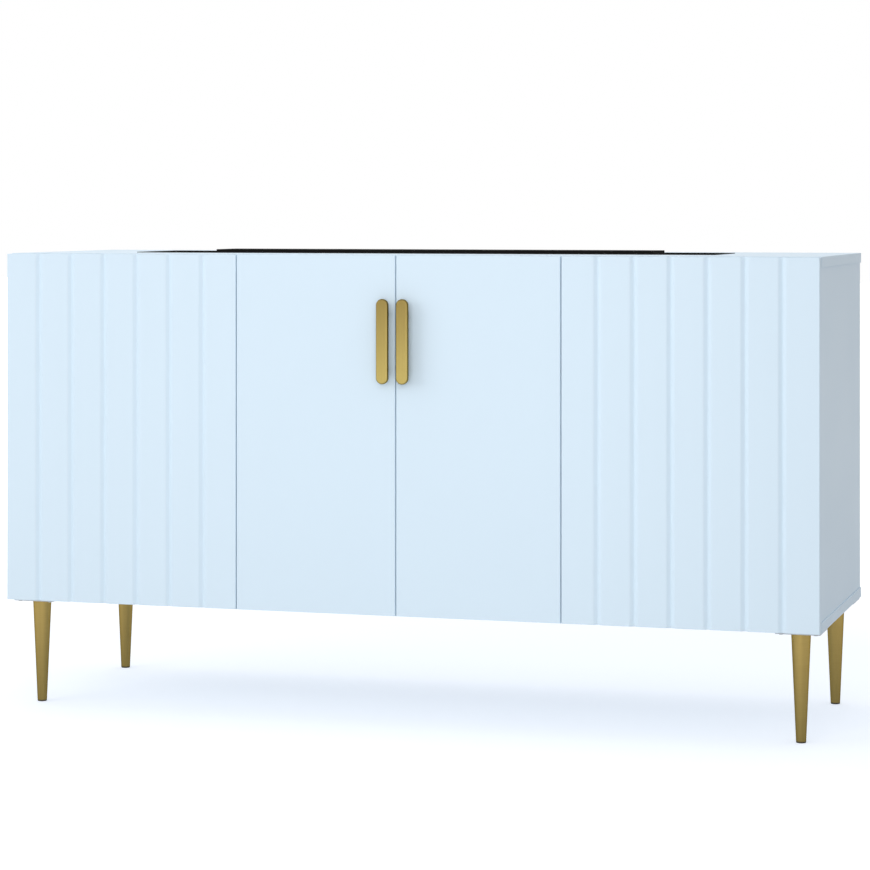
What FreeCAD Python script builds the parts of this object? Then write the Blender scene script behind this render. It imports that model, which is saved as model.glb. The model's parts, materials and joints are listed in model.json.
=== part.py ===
# Fireplace TV stand: a lacquered four-door cabinet on tapered legs with a long fire insert in its top.
# Millimetres. X runs to the right, Y to the back and Z up. The origin is on the floor, in the middle of
# the overall footprint.

import FreeCAD
import Part
import Sketcher
import collections
import os
import re

# Driving sizes: name, value, meaning
SIZES = (
    ("width", 1500, "one end of the top panel to the other"),
    ("depth", 497, "front of the doors to the rear of the back panel"),
    ("body_height", 638, "underside of the bottom panel to the upper side of the top panel"),
    ("board", 18, "thickness of the case boards"),
    ("side_setback", 2, "how far the ends of the top and bottom panels reach past the side panels"),
    ("back_board", 3, "thickness of the back panel"),
    ("back_margin", 3, "how far the back panel stays inside the case outline"),
    ("centre_width", 600, "distance between the middles of the two partitions"),

    ("door_board", 18, "thickness of the doors"),
    ("door_standoff", 2.5, "gap between the doors and the case, filled by the bumpers"),
    ("door_gap", 1.5, "gap between neighbouring doors"),
    ("door_reveal", 1, "how far a door ends short of the case, above and below"),
    ("door_edge_radius", 2, "rounding of the upright door edges"),
    ("groove_count", 6, "grooves in each outer door"),
    ("groove_width", 13, "width of a groove at the door face"),
    ("groove_floor", 2, "width of a groove at its floor"),
    ("groove_depth", 4, "depth of a groove"),

    ("pull_length", 150, "length of a pull"),
    ("pull_width", 22, "width of a pull"),
    ("pull_thickness", 9, "thickness of the bar of a pull"),
    ("pull_projection", 24, "front of a pull to the face of its door"),
    ("pull_edge_radius", 3, "rounding of the bar's rims"),
    ("pull_post_diameter", 10, "diameter of the posts behind a pull"),
    ("pull_post_spacing", 96, "distance between the two posts"),
    ("pull_offset", 18.4, "middle of a pull to the middle of the cabinet"),
    ("pull_drop", 77, "top of the case to the top of a pull"),
    ("pull_screw_diameter", 4, "shank of a pull screw"),
    ("pull_screw_grip", 9, "length of a pull screw inside the post"),
    ("pull_screw_head_diameter", 9, "head of a pull screw"),
    ("pull_screw_head_height", 2.5, "height of that head"),

    ("hinge_inset", 100, "end of a door to the middle of its hinge"),
    ("hinge_pin_setback", 9, "hinge edge of a door to the axis of the pin"),
    ("hinge_pin_depth", 11.6, "inner face of a door to the axis of the pin"),
    ("hinge_pin_diameter", 1.6, "diameter of a hinge pin"),
    ("hinge_pin_length", 24.2, "length of a hinge pin, seated in both walls of the cup"),
    ("running_clearance", 0.05, "radial clearance of a turning or sliding fit"),
    ("press_clearance", 0.05, "radial clearance of a pressed or glued fit"),
    ("knuckle_diameter", 3.6, "outside of the arm's eye around the pin"),
    ("cup_diameter", 35, "boring for a hinge cup"),
    ("cup_edge_distance", 3, "edge of the door to the edge of that boring"),
    ("cup_depth", 14.5, "depth of that boring"),
    ("cup_wall", 0.6, "wall of a cup"),
    ("cup_floor", 0.8, "floor of a cup"),
    ("cup_flange_width", 30, "flange of a cup, across the door"),
    ("cup_flange_length", 56, "flange of a cup, along the door"),
    ("cup_flange_thickness", 1.2, "thickness of that flange"),
    ("arm_thickness", 1.8, "thickness of a hinge arm"),
    ("arm_width", 8, "width of a hinge arm"),
    ("arm_reach", 13, "pin axis to the near side of the neck of a cranked arm"),
    ("arm_crank_clearance", 0.5, "front of the case to the crank of an arm"),
    ("hinge_plate_thickness", 2, "thickness of a mounting plate"),
    ("hinge_plate_length", 40, "mounting plate, front to back"),
    ("hinge_plate_height", 46, "mounting plate, up and down"),
    ("hinge_plate_setback", 8, "front of the case to a mounting plate"),
    ("hinge_screw_spacing", 32, "distance between the two screws of a mounting plate"),
    ("hinge_screw_diameter", 4, "shank of a hinge screw"),
    ("hinge_screw_length", 11, "length of that shank"),
    ("hinge_screw_head_diameter", 7, "head of a hinge screw"),
    ("hinge_screw_head_height", 1.2, "height of that head"),
    ("screw_clearance", 0.1, "radial clearance of a screw hole"),

    ("latch_width", 12, "press latch housing, across"),
    ("latch_length", 60, "press latch housing, front to back"),
    ("latch_height", 14, "press latch housing, up and down"),
    ("latch_drop", 60, "underside of the top panel to a press latch"),
    ("latch_setback", 1, "front of the case to a press latch"),
    ("plunger_diameter", 7, "diameter of a latch plunger"),
    ("plunger_length", 34, "length of a latch plunger"),
    ("plunger_gap", 0.3, "shut door to the tip of its plunger"),
    ("plunger_travel", 2.5, "how far a plunger goes in"),
    ("catch_length", 44, "magnetic catch, across"),
    ("catch_depth", 16, "magnetic catch, front to back"),
    ("catch_height", 13, "magnetic catch, up and down"),
    ("catch_offset", 12, "middle of the cabinet to a magnetic catch"),
    ("catch_gap", 0.3, "strike plate to its catch"),
    ("strike_thickness", 1.2, "thickness of a strike plate"),
    ("strike_margin", 2, "how far a strike plate ends inside its catch"),
    ("bumper_diameter", 6, "diameter of a door bumper"),
    ("bumper_inset", 60, "end of the case front to the bumpers on it"),
    ("bumper_offset", 70, "middle of the cabinet to the bumpers of the centre doors"),

    ("leg_length", 187.5, "length of a leg"),
    ("leg_top_diameter", 34, "top of a leg"),
    ("leg_foot_diameter", 17.5, "foot of a leg"),
    ("leg_inset", 42, "edge of the case to the axis of a leg"),
    ("leg_stud_diameter", 8, "stud on top of a leg"),
    ("leg_stud_length", 12, "length of that stud"),
    ("leg_stud_room", 1, "room around a stud in the bottom panel"),
    ("leg_plate_size", 78, "side of a leg's mounting plate"),
    ("leg_plate_thickness", 4, "thickness of that plate"),
    ("leg_plate_corner", 2.5, "rounding of its corners"),
    ("leg_screw_spacing", 60, "distance between the screws of that plate"),
    ("leg_screw_diameter", 4, "shank of a leg screw"),
    ("leg_screw_length", 15, "length of that shank"),
    ("leg_screw_head_diameter", 8, "head of a leg screw"),
    ("leg_screw_head_height", 2, "height of that head"),
    ("glide_height", 2.5, "glide under a leg"),
    ("glide_edge", 0.8, "bevel of a glide"),
    ("glide_pin_diameter", 4, "pin of a glide, inside the leg"),
    ("glide_pin_length", 12, "length of that pin"),

    ("shelf_board", 18, "thickness of the shelves"),
    ("shelf_rise", 250, "bottom panel to the underside of a shelf"),
    ("shelf_setback", 30, "front of the case to the front of a shelf"),
    ("shelf_clearance", 1, "gap at each end of a shelf"),
    ("shelf_pin_diameter", 5, "diameter of a shelf pin"),
    ("shelf_pin_seat", 8, "length of a shelf pin inside the board"),
    ("shelf_pin_reach", 10, "length of a shelf pin under the shelf"),
    ("shelf_pin_inset", 60, "edge of a shelf to its pins"),

    ("dowel_diameter", 8, "diameter of a dowel"),
    ("dowel_length", 30, "length of a dowel"),
    ("dowel_seat", 11, "length of a dowel inside the top panel"),
    ("dowel_inset", 75, "edge of the case to a dowel"),
    ("cam_diameter", 15, "diameter of a cam lock"),
    ("cam_depth", 12.5, "depth of a cam lock"),
    ("cam_drop", 24, "underside of the top panel to the middle of a cam lock"),
    ("cam_inset", 40, "edge of the case to a cam lock"),
    ("cam_bolt_diameter", 6, "diameter of a cam bolt"),
    ("cam_bolt_seat", 11, "length of a cam bolt inside the top panel"),
    ("case_screw_inset", 100, "edge of the case to the screws through the bottom panel"),
    ("case_screw_diameter", 5, "shank of a case screw"),
    ("case_screw_length", 46, "length of that shank"),
    ("case_screw_head_diameter", 10, "head of a case screw, sunk in the bottom panel"),
    ("case_screw_head_height", 4, "height of that head"),
    ("back_screw_pitch", 400, "distance between the back screws along the top and bottom"),
    ("back_screw_diameter", 3.5, "shank of a back screw"),
    ("back_screw_length", 16, "length of that shank"),
    ("back_screw_head_diameter", 7, "head of a back screw, sunk in the back panel"),
    ("back_screw_head_height", 2, "height of that head"),

    ("outlet_diameter", 60, "cable outlet in the back panel"),
    ("outlet_wall", 3, "wall of the outlet's ring"),
    ("outlet_flange", 5, "how far the ring's flange covers the back panel"),
    ("outlet_flange_thickness", 2, "thickness of that flange"),
    ("outlet_rise", 140, "underside of the case to the middle of an outlet"),
    ("outlet_offset", 520, "middle of the cabinet to the middle of an outlet"),

    ("flange_length", 1100, "flange of the fire casing, across"),
    ("flange_width", 190, "flange of the fire casing, front to back"),
    ("flange_thickness", 1.2, "thickness of that flange"),
    ("flange_shift", 10, "middle of the cabinet to the middle of that flange, to the left"),
    ("casing_length", 1060, "fire casing, across"),
    ("casing_width", 150, "fire casing, front to back"),
    ("casing_depth", 90, "upper side of the top panel to the underside of the casing"),
    ("casing_sheet", 1.2, "sheet of the casing"),
    ("cutout_clearance", 3, "casing to the edge of the cut-out in the top panel"),
    ("shield_gap", 12, "air gap between the casing and the heat shield"),
    ("shield_sheet", 1, "sheet of the heat shield"),
    ("shield_flange", 15, "flange of the heat shield under the top panel"),
    ("shield_screw_pitch", 300, "distance between the shield's screws"),
    ("shield_screw_diameter", 4, "shank of a shield screw"),
    ("shield_screw_length", 12, "length of that shank"),
    ("shield_screw_head_diameter", 8, "head of a shield screw"),
    ("shield_screw_head_height", 2, "height of that head"),
    ("notch_clearance", 4, "heat shield to the notch in a partition"),
    ("tank_length", 832, "fuel tank, across"),
    ("tank_width", 96, "fuel tank, front to back"),
    ("tank_sheet", 1.5, "sheet of the tank"),
    ("cap_rise", 6, "top panel to the top of the burner cap"),
    ("cap_sheet", 1.5, "sheet of the cap"),
    ("cap_clearance", 0.5, "tank to the rim of the cap"),
    ("cap_rim", 14, "depth of that rim"),
    ("slot_count", 6, "flame slots in the cap"),
    ("slot_pitch", 114, "distance between the slots"),
    ("slot_length", 54, "length of a slot"),
    ("slot_width", 36, "width of a slot"),
    ("slider_sheet", 1.5, "sheet of the regulator"),
    ("slider_clearance", 0.3, "regulator to the cap above it"),
    ("slider_margin", 1, "regulator to the long walls of the tank"),
    ("slider_end", 25, "how far the regulator runs past its outermost slots"),
    ("slider_hook_diameter", 10, "hole in the regulator for its hook"),
    ("slider_hook_reach", 50, "outermost slot to the middle of that hole"),
    ("hook_slot_room", 2, "room around that hole in the cap"),
    ("guide_width", 8, "width of the regulator's guides"),
    ("guide_sheet", 1.5, "sheet of the guides"),
    ("wool_clearance", 0.5, "wool to the walls of the tank"),
    ("wool_drop", 5, "guides to the top of the wool"),
)

# Places and sizes that follow from the driving sizes
DERIVED = {
    "front": "(pull_projection - depth) / 2",
    "door_back": "front + door_board",
    "carcase_front": "door_back + door_standoff",
    "back_rear": "front + depth",
    "carcase_back": "back_rear - back_board",
    "carcase_middle": "(carcase_front + carcase_back) / 2",
    "body_bottom": "glide_height + leg_length + leg_plate_thickness",
    "body_top": "body_bottom + body_height",
    "inner_bottom": "body_bottom + board",
    "inner_top": "body_top - board",
    "side_outside": "width / 2 - side_setback",
    "side_inside": "side_outside - board",
    "side_middle": "side_outside - board / 2",
    "partition_inside": "centre_width / 2 - board / 2",
    "partition_outside": "centre_width / 2 + board / 2",
    "partition_middle": "centre_width / 2",

    "door_bottom": "body_bottom + door_reveal",
    "door_top": "body_top - door_reveal",
    "outer_door_edge": "centre_width / 2 + door_gap / 2",
    "outer_door_width": "width / 2 - outer_door_edge",
    "inner_door_edge": "centre_width / 2 - door_gap / 2",
    "inner_door_width": "inner_door_edge - door_gap / 2",
    "groove_pitch": "outer_door_width / (groove_count + 1)",
    "pull_middle": "body_top - pull_drop - pull_length / 2",
    "pull_post_length": "pull_projection - pull_thickness",
    "pull_screw_length": "door_board + pull_screw_grip",

    "hinge_pin_back": "door_back - hinge_pin_depth",
    "cup_radius": "cup_diameter / 2 - press_clearance",
    "cup_inner_radius": "cup_radius - cup_wall",
    "arm_half": "arm_thickness / 2",
    "plate_front": "carcase_front + hinge_plate_setback",
    "plate_back": "plate_front + hinge_plate_length",
    "plate_middle": "plate_front + hinge_plate_length / 2",
    "crank_front": "carcase_front + arm_crank_clearance",

    "latch_front": "carcase_front + latch_setback",
    "latch_middle": "inner_top - latch_drop",
    "plunger_tip": "door_back + plunger_gap",
    "plunger_end": "plunger_tip + plunger_length",
    "catch_front": "door_back + strike_thickness + catch_gap",

    "leg_side": "width / 2 - leg_inset",
    "leg_front": "carcase_front + leg_inset",
    "leg_back": "back_rear - leg_inset",
    "leg_top": "glide_height + leg_length",

    "shelf_bottom": "inner_bottom + shelf_rise",
    "shelf_front": "carcase_front + shelf_setback",
    "shelf_pin_middle": "shelf_bottom - shelf_pin_diameter / 2",

    "cam_middle": "inner_top - cam_drop",
    "cam_top": "cam_middle + cam_diameter / 2 + press_clearance",
    "back_seat": "back_rear - back_screw_head_height",
    "case_seat": "body_bottom + case_screw_head_height",

    "casing_floor": "body_top - casing_depth",
    "tank_bottom": "casing_floor + casing_sheet",
    "cap_top": "body_top + cap_rise",
    "tank_top": "cap_top - cap_sheet",
    "cap_half_length": "tank_length / 2 + cap_clearance + cap_sheet",
    "cap_half_width": "tank_width / 2 + cap_clearance + cap_sheet",
    "tank_inner_half": "tank_width / 2 - tank_sheet",
    "slider_top": "tank_top - slider_clearance",
    "guide_top": "slider_top - slider_sheet",
    "guide_bottom": "guide_top - guide_sheet",
    "wool_top": "guide_bottom - wool_drop",
    "slots_half": "(slot_count - 1) * slot_pitch / 2 + slot_length / 2",
    "slider_travel": "slot_pitch / 2",
    "hook_x": "-slots_half - slider_hook_reach - slider_travel / 2",
    "shield_bottom": "casing_floor - shield_gap - shield_sheet",
    "shield_inner_length": "casing_length / 2 + shield_gap",
    "shield_inner_width": "casing_width / 2 + shield_gap",
    "shield_screw_line": "shield_inner_width + shield_sheet + shield_flange / 2",
    "notch_half": "shield_inner_width + shield_sheet + shield_flange + notch_clearance",
}

SIDES = {"left": -1, "right": 1}
DIRECTIONS = {
    "x": FreeCAD.Vector(1, 0, 0), "-x": FreeCAD.Vector(-1, 0, 0),
    "y": FreeCAD.Vector(0, 1, 0), "-y": FreeCAD.Vector(0, -1, 0),
    "z": FreeCAD.Vector(0, 0, 1), "-z": FreeCAD.Vector(0, 0, -1),
}

doc = FreeCAD.newDocument("fireplace_tv_stand")
sheet = doc.addObject("Spreadsheet::Sheet", "Sizes")
nodes = []
cutters = collections.defaultdict(list)


# Expressions and placing

def fill_sheet():
    """One row for each driving size: its meaning and its value, with the name as alias."""
    for row, (name, value, meaning) in enumerate(SIZES, start=1):
        sheet.set(f"A{row}", meaning)
        sheet.set(f"B{row}", str(value))
        sheet.setAlias(f"B{row}", name)
    doc.recompute()


def formula(text):
    """Expression in which every size name stands for its cell and every derived name for its formula."""
    def bound(match):
        word = match.group(0)
        if word in DERIVED:
            return "(" + formula(DERIVED[word]) + ")"
        return "Sizes." + word
    return re.sub("[a-z_]+", bound, text)


def number(text):
    """Present value of an expression."""
    return float(sheet.evalExpression(formula(text)))


def place(item, point, direction="z"):
    """Turn an item's own Z to a direction and bind its place to a point."""
    turn = FreeCAD.Rotation(DIRECTIONS["z"], DIRECTIONS[direction])
    item.Placement = FreeCAD.Placement(FreeCAD.Vector(), turn)
    for axis, text in zip("xyz", point):
        item.setExpression("Placement.Base." + axis, formula(text))


def mirrored(side, point):
    """A point given for the right-hand side, on the side that is asked for."""
    return (f"{side} * ({point[0]})", point[1], point[2])


def sideways(side, direction):
    """A direction given for the right-hand side, on the side that is asked for."""
    return direction if side > 0 else opposite(direction)


def opposite(direction):
    return direction[1:] if direction.startswith("-") else "-" + direction


def node(item, label):
    """Name an item as one of the object's pieces."""
    item.Label = label
    nodes.append(item)
    return item


# Solids from primitives

def block(name, low, high, side=1):
    """Box between two corners that are given for the right-hand side."""
    item = doc.addObject("Part::Box", name)
    for prop, start, end in zip(("Length", "Width", "Height"), low, high):
        item.setExpression(prop, formula(f"({end}) - ({start})"))
    left = low[0] if side > 0 else f"-({high[0]})"
    place(item, (left, low[1], low[2]))
    return item


def cylinder(name, radius, length, start, direction="z"):
    item = doc.addObject("Part::Cylinder", name)
    item.setExpression("Radius", formula(radius))
    item.setExpression("Height", formula(length))
    place(item, start, direction)
    return item


def fuse(name, members):
    item = doc.addObject("Part::MultiFuse", name)
    item.Shapes = members
    item.Refine = True
    return item


def cut(name, base, tools):
    item = doc.addObject("Part::Cut", name)
    item.Base = base
    item.Tool = tools[0] if len(tools) == 1 else fuse(name + "_tools", tools)
    return item


def group(name, members):
    """Identical pieces that share a node, as separate solids."""
    item = doc.addObject("Part::Compound", name)
    item.Links = members
    return item


def screw(name, kind, seat, direction):
    """Screw of a named kind: its head stands on the seat, its shank goes on in the direction."""
    head = cylinder(name + "_head", f"{kind}_head_diameter / 2", f"{kind}_head_height", seat,
                    opposite(direction))
    shank = cylinder(name + "_shank", f"{kind}_diameter / 2", f"{kind}_length", seat, direction)
    return fuse(name, [head, shank])


def screw_hole(name, kind, seat, direction):
    """Hole for the shank of a screw of a named kind."""
    return cylinder(name + "_hole", f"{kind}_diameter / 2 + screw_clearance",
                    f"{kind}_length + screw_clearance", seat, direction)


def sunk_head_hole(name, kind, seat, direction):
    """Hole for the head of a screw of a named kind that sits flush."""
    return cylinder(name + "_sink", f"{kind}_head_diameter / 2 + screw_clearance",
                    f"{kind}_head_height + screw_clearance", seat, opposite(direction))


def drill(tool, *pieces):
    """Note that a tool cuts the named pieces, which are made later."""
    for piece in pieces:
        cutters[piece].append(tool)


def board(label, low, high, side=1):
    """Flat board with every hole that was noted for it."""
    blank = block(label + "_blank", low, high, side)
    return node(cut(label, blank, cutters[label]) if cutters[label] else blank, label)


# Solids from sketches

def sketch_on(body, name, role, offset="0"):
    """Sketch on a plane of a body's own origin, moved along that plane's normal by an offset."""
    item = body.newObject("Sketcher::SketchObject", name)
    plane = next(feature for feature in body.Origin.OriginFeatures if feature.Role == role)
    item.AttachmentSupport = [(plane, "")]
    item.MapMode = "FlatFace"
    item.setExpression("AttachmentOffset.Base.z", formula(offset))
    return item


def bind(sketch, constraint, text):
    index = sketch.addConstraint(constraint)
    sketch.setExpression(f"Constraints[{index}]", formula(text))


def hold_point(sketch, geometry, point, at):
    """Tie a point of a sketch to the sketch's origin."""
    for kind, text in zip(("DistanceX", "DistanceY"), at):
        bind(sketch, Sketcher.Constraint(kind, -1, 1, geometry, point, number(text)), text)


def polygon(sketch, points):
    """Closed outline of straight lines."""
    corners = [FreeCAD.Vector(number(across), number(up), 0) for across, up in points]
    count = len(corners)
    for index in range(count):
        sketch.addGeometry(Part.LineSegment(corners[index], corners[(index + 1) % count]))
    for index in range(count):
        sketch.addConstraint(Sketcher.Constraint("Coincident", index, 2, (index + 1) % count, 1))
    for index, point in enumerate(points):
        hold_point(sketch, index, 1, point)


def circle(sketch, radius, centre=("0", "0")):
    middle = FreeCAD.Vector(number(centre[0]), number(centre[1]), 0)
    index = sketch.addGeometry(Part.Circle(middle, FreeCAD.Vector(0, 0, 1), number(radius)))
    bind(sketch, Sketcher.Constraint("Radius", index, number(radius)), radius)
    hold_point(sketch, index, 3, centre)


def round_ended_bar(sketch, length, width):
    """Upright outline with straight sides and half-round ends, around the sketch's origin."""
    radius = number(width) / 2
    reach = number(length) / 2 - radius
    centres = [FreeCAD.Vector(0, reach, 0), FreeCAD.Vector(0, -reach, 0)]
    normal = FreeCAD.Vector(0, 0, 1)
    half_turn = FreeCAD.Units.Quantity("180 deg").getValueAs("rad").Value
    sketch.addGeometry(Part.LineSegment(FreeCAD.Vector(radius, -reach, 0), FreeCAD.Vector(radius, reach, 0)))
    sketch.addGeometry(Part.ArcOfCircle(Part.Circle(centres[0], normal, radius), 0, half_turn))
    sketch.addGeometry(Part.LineSegment(FreeCAD.Vector(-radius, reach, 0), FreeCAD.Vector(-radius, -reach, 0)))
    sketch.addGeometry(Part.ArcOfCircle(Part.Circle(centres[1], normal, radius), half_turn, 2 * half_turn))
    for index in range(4):
        sketch.addConstraint(Sketcher.Constraint("Tangent", index, 2, (index + 1) % 4, 1))
    sketch.addConstraint(Sketcher.Constraint("Equal", 1, 3))
    bind(sketch, Sketcher.Constraint("Radius", 1, radius), f"({width}) / 2")
    hold_point(sketch, 1, 3, ("0", f"(({length}) - ({width})) / 2"))
    hold_point(sketch, 3, 3, ("0", f"(({width}) - ({length})) / 2"))


def feature(body, kind, name, profile):
    item = body.newObject("PartDesign::" + kind, name)
    item.Profile = profile
    return item


def pad(body, name, profile, length):
    item = feature(body, "Pad", name, profile)
    item.setExpression("Length", formula(length))
    return item


def pocket(body, name, profile, length):
    """Pocket along the normal of its sketch."""
    item = feature(body, "Pocket", name, profile)
    item.Reversed = True
    item.setExpression("Length", formula(length))
    return item


def turned(body, name, profile):
    """Solid of revolution about the upright axis of its sketch."""
    item = feature(body, "Revolution", name, profile)
    item.ReferenceAxis = (profile, ["V_Axis"])
    item.Angle = 360
    return item


def rounded(body, name, base, radius, wanted):
    """Fillet on those edges of a feature that pass a test."""
    doc.recompute()
    picked = [f"Edge{index}" for index, edge in enumerate(base.Shape.Edges, start=1) if wanted(edge)]
    item = body.newObject("PartDesign::Fillet", name)
    item.Base = (base, picked)
    item.setExpression("Radius", formula(radius))
    return item


def is_upright(edge):
    """Whether an edge runs along Z."""
    box = edge.BoundBox
    return box.ZLength > max(box.XLength, box.YLength)


def is_rim(edge):
    """Whether an edge lies in one plane across Y."""
    return edge.BoundBox.YLength < min(edge.Length, 1) / 2


# Legs

def leg_places():
    for depth_word, y in (("front", "leg_front"), ("back", "leg_back")):
        for side_word, side in SIDES.items():
            yield f"{depth_word}_{side_word}", (f"{side} * leg_side", y)


def leg(name, x, y):
    """Turned taper with a stud on top and a hole for the pin of its glide."""
    body = doc.addObject("PartDesign::Body", "leg_" + name)
    profile = sketch_on(body, f"leg_{name}_profile", "XZ_Plane")
    hole = "glide_pin_diameter / 2 + press_clearance"
    hole_end = "glide_pin_length + press_clearance"
    stud_end = "leg_length + leg_stud_length"
    polygon(profile, [
        ("0", hole_end), (hole, hole_end), (hole, "0"), ("leg_foot_diameter / 2", "0"),
        ("leg_top_diameter / 2", "leg_length"), ("leg_stud_diameter / 2", "leg_length"),
        ("leg_stud_diameter / 2", stud_end), ("0", stud_end)])
    turned(body, f"leg_{name}_turning", profile)
    place(body, (x, y, "glide_height"))
    return node(body, "leg_" + name)


def glide(name, x, y):
    """Plain disc with a bevelled lower edge and a pin that holds it in the leg."""
    body = doc.addObject("PartDesign::Body", "glide_" + name)
    profile = sketch_on(body, f"glide_{name}_profile", "XZ_Plane")
    pin_end = "glide_height + glide_pin_length"
    polygon(profile, [
        ("0", "0"), ("leg_foot_diameter / 2 - glide_edge", "0"), ("leg_foot_diameter / 2", "glide_edge"),
        ("leg_foot_diameter / 2", "glide_height"), ("glide_pin_diameter / 2", "glide_height"),
        ("glide_pin_diameter / 2", pin_end), ("0", pin_end)])
    turned(body, f"glide_{name}_turning", profile)
    place(body, (x, y, "0"))
    return body


def leg_screw_spots():
    for across in (-1, 1):
        for along in (-1, 1):
            yield f"{across} * leg_screw_spacing / 2", f"{along} * leg_screw_spacing / 2"


def leg_plate(name, x, y):
    """Square plate with rounded corners, a hole for the stud and four for its screws."""
    body = doc.addObject("PartDesign::Body", "leg_plate_" + name)
    outline = sketch_on(body, f"leg_plate_{name}_outline", "XY_Plane")
    half = "leg_plate_size / 2"
    polygon(outline, [(f"-{half}", f"-{half}"), (half, f"-{half}"), (half, half), (f"-{half}", half)])
    plate = pad(body, f"leg_plate_{name}_pad", outline, "leg_plate_thickness")
    rounded(body, f"leg_plate_{name}_corners", plate, "leg_plate_corner", is_upright)
    holes = sketch_on(body, f"leg_plate_{name}_holes", "XY_Plane")
    circle(holes, "leg_stud_diameter / 2 + press_clearance")
    for spot in leg_screw_spots():
        circle(holes, "leg_screw_diameter / 2 + screw_clearance", spot)
    pocket(body, f"leg_plate_{name}_drilling", holes, "leg_plate_thickness")
    place(body, (x, y, "leg_top"))
    return body


def make_legs():
    glides = []
    plates = []
    screws = []
    for name, (x, y) in leg_places():
        leg(name, x, y)
        glides.append(glide(name, x, y))
        plates.append(leg_plate(name, x, y))
        room = cylinder(f"stud_room_{name}", "leg_stud_diameter / 2 + leg_stud_room",
                        "leg_stud_length - leg_plate_thickness + leg_stud_room", (x, y, "body_bottom"))
        drill(room, "bottom_panel")
        for index, (across, along) in enumerate(leg_screw_spots()):
            label = f"leg_screw_{name}_{index}"
            seat = (f"{x} + {across}", f"{y} + {along}", "leg_top")
            screws.append(screw(label, "leg_screw", seat, "z"))
            drill(screw_hole(label, "leg_screw", seat, "z"), "bottom_panel")
    node(group("leg_glides", glides), "leg_glides")
    node(group("leg_plates", plates), "leg_plates")
    node(group("leg_screws", screws), "leg_screws")


# Doors, pulls and hinges

DOORS = {"left_outer": -1, "left_inner": -1, "right_inner": 1, "right_outer": 1}


def is_outer(door):
    return door.endswith("outer")


def door_edges(door):
    """Edge by the hinges and free edge of a door, given for the right-hand side."""
    if is_outer(door):
        return "width / 2", "outer_door_edge"
    return "inner_door_edge", "door_gap / 2"


def hinge_heights():
    return {"low": "door_bottom + hinge_inset", "high": "door_top - hinge_inset"}


def door_blank(door):
    """Door with rounded upright edges and, on an outer door, its row of grooves."""
    side = DOORS[door]
    hinge_edge, free_edge = door_edges(door)
    width = f"({hinge_edge}) - ({free_edge})"
    body = doc.addObject("PartDesign::Body", f"door_{door}_blank")
    outline = sketch_on(body, f"door_{door}_outline", "XY_Plane")
    polygon(outline, [("0", "0"), (width, "0"), (width, "door_board"), ("0", "door_board")])
    slab = pad(body, f"door_{door}_slab", outline, "door_top - door_bottom")
    rounded(body, f"door_{door}_edges", slab, "door_edge_radius", is_upright)
    if is_outer(door):
        profile = sketch_on(body, f"door_{door}_groove_profile", "XY_Plane")
        polygon(profile, [
            ("groove_pitch - groove_width / 2", "0"), ("groove_pitch + groove_width / 2", "0"),
            ("groove_pitch + groove_floor / 2", "groove_depth"),
            ("groove_pitch - groove_floor / 2", "groove_depth")])
        groove = pocket(body, f"door_{door}_groove", profile, "door_top - door_bottom")
        doc.recompute()
        row = body.newObject("PartDesign::LinearPattern", f"door_{door}_grooves")
        row.Originals = [groove]
        row.Direction = (profile, ["H_Axis"])
        row.setExpression("Length", formula("groove_pitch * (groove_count - 1)"))
        row.setExpression("Occurrences", formula("groove_count"))
        body.Tip = row
    left = free_edge if side > 0 else f"-({hinge_edge})"
    place(body, (left, "front", "door_bottom"))
    return body


def pull(door):
    """Flat bar with half-round ends and soft rims on two posts, drilled for its screws."""
    side = DOORS[door]
    label = "pull_" + door.split("_")[0]
    body = doc.addObject("PartDesign::Body", label)
    bar_outline = sketch_on(body, label + "_outline", "XZ_Plane", "pull_post_length")
    round_ended_bar(bar_outline, "pull_length", "pull_width")
    bar = pad(body, label + "_bar", bar_outline, "pull_thickness")
    rounded(body, label + "_rims", bar, "pull_edge_radius", is_rim)
    posts = sketch_on(body, label + "_post_circles", "XZ_Plane")
    holes = sketch_on(body, label + "_hole_circles", "XZ_Plane")
    for along in (-1, 1):
        spot = ("0", f"{along} * pull_post_spacing / 2")
        circle(posts, "pull_post_diameter / 2", spot)
        circle(holes, "pull_screw_diameter / 2 + screw_clearance", spot)
    pad(body, label + "_posts", posts, "pull_post_length")
    pocket(body, label + "_holes", holes, "pull_screw_grip + screw_clearance")
    place(body, (f"{side} * pull_offset", "front", "pull_middle"))
    node(body, label)

    screws = []
    for along in (-1, 1):
        name = f"{label}_screw_{'high' if along > 0 else 'low'}"
        seat = (f"{side} * pull_offset", "door_back", f"pull_middle + {along} * pull_post_spacing / 2")
        screws.append(screw(name, "pull_screw", seat, "-y"))
        drill(screw_hole(name, "pull_screw", seat, "-y"), "door_" + door)
    node(group(label + "_screws", screws), label + "_screws")


def hinge_cup(name, side, hinge_edge, pin_x, height):
    """Pressed cup with its flange on the door's inner face and seats for the pin."""
    middle_x = f"({hinge_edge}) - cup_edge_distance - cup_diameter / 2"
    middle = mirrored(side, (middle_x, "door_back", height))
    outside = cylinder(name + "_outside", "cup_radius", "cup_depth - press_clearance", middle, "-y")
    flange = block(
        name + "_flange",
        (f"{middle_x} - cup_flange_width / 2", "door_back", f"{height} - cup_flange_length / 2"),
        (f"{middle_x} + cup_flange_width / 2", "door_back + cup_flange_thickness",
         f"{height} + cup_flange_length / 2"), side)
    mouth = (middle[0], "door_back + cup_flange_thickness", middle[2])
    inside = cylinder(name + "_inside", "cup_inner_radius",
                      "cup_flange_thickness + cup_depth - press_clearance - cup_floor", mouth, "-y")
    pin_seat = cylinder(name + "_pin_seat", "hinge_pin_diameter / 2 + press_clearance",
                        "hinge_pin_length", hinge_pin_start(side, pin_x, height))
    boring = cylinder(name + "_boring", "cup_diameter / 2", "cup_depth", middle, "-y")
    return cut(name, fuse(name + "_shell", [outside, flange]), [inside, pin_seat]), boring


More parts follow.
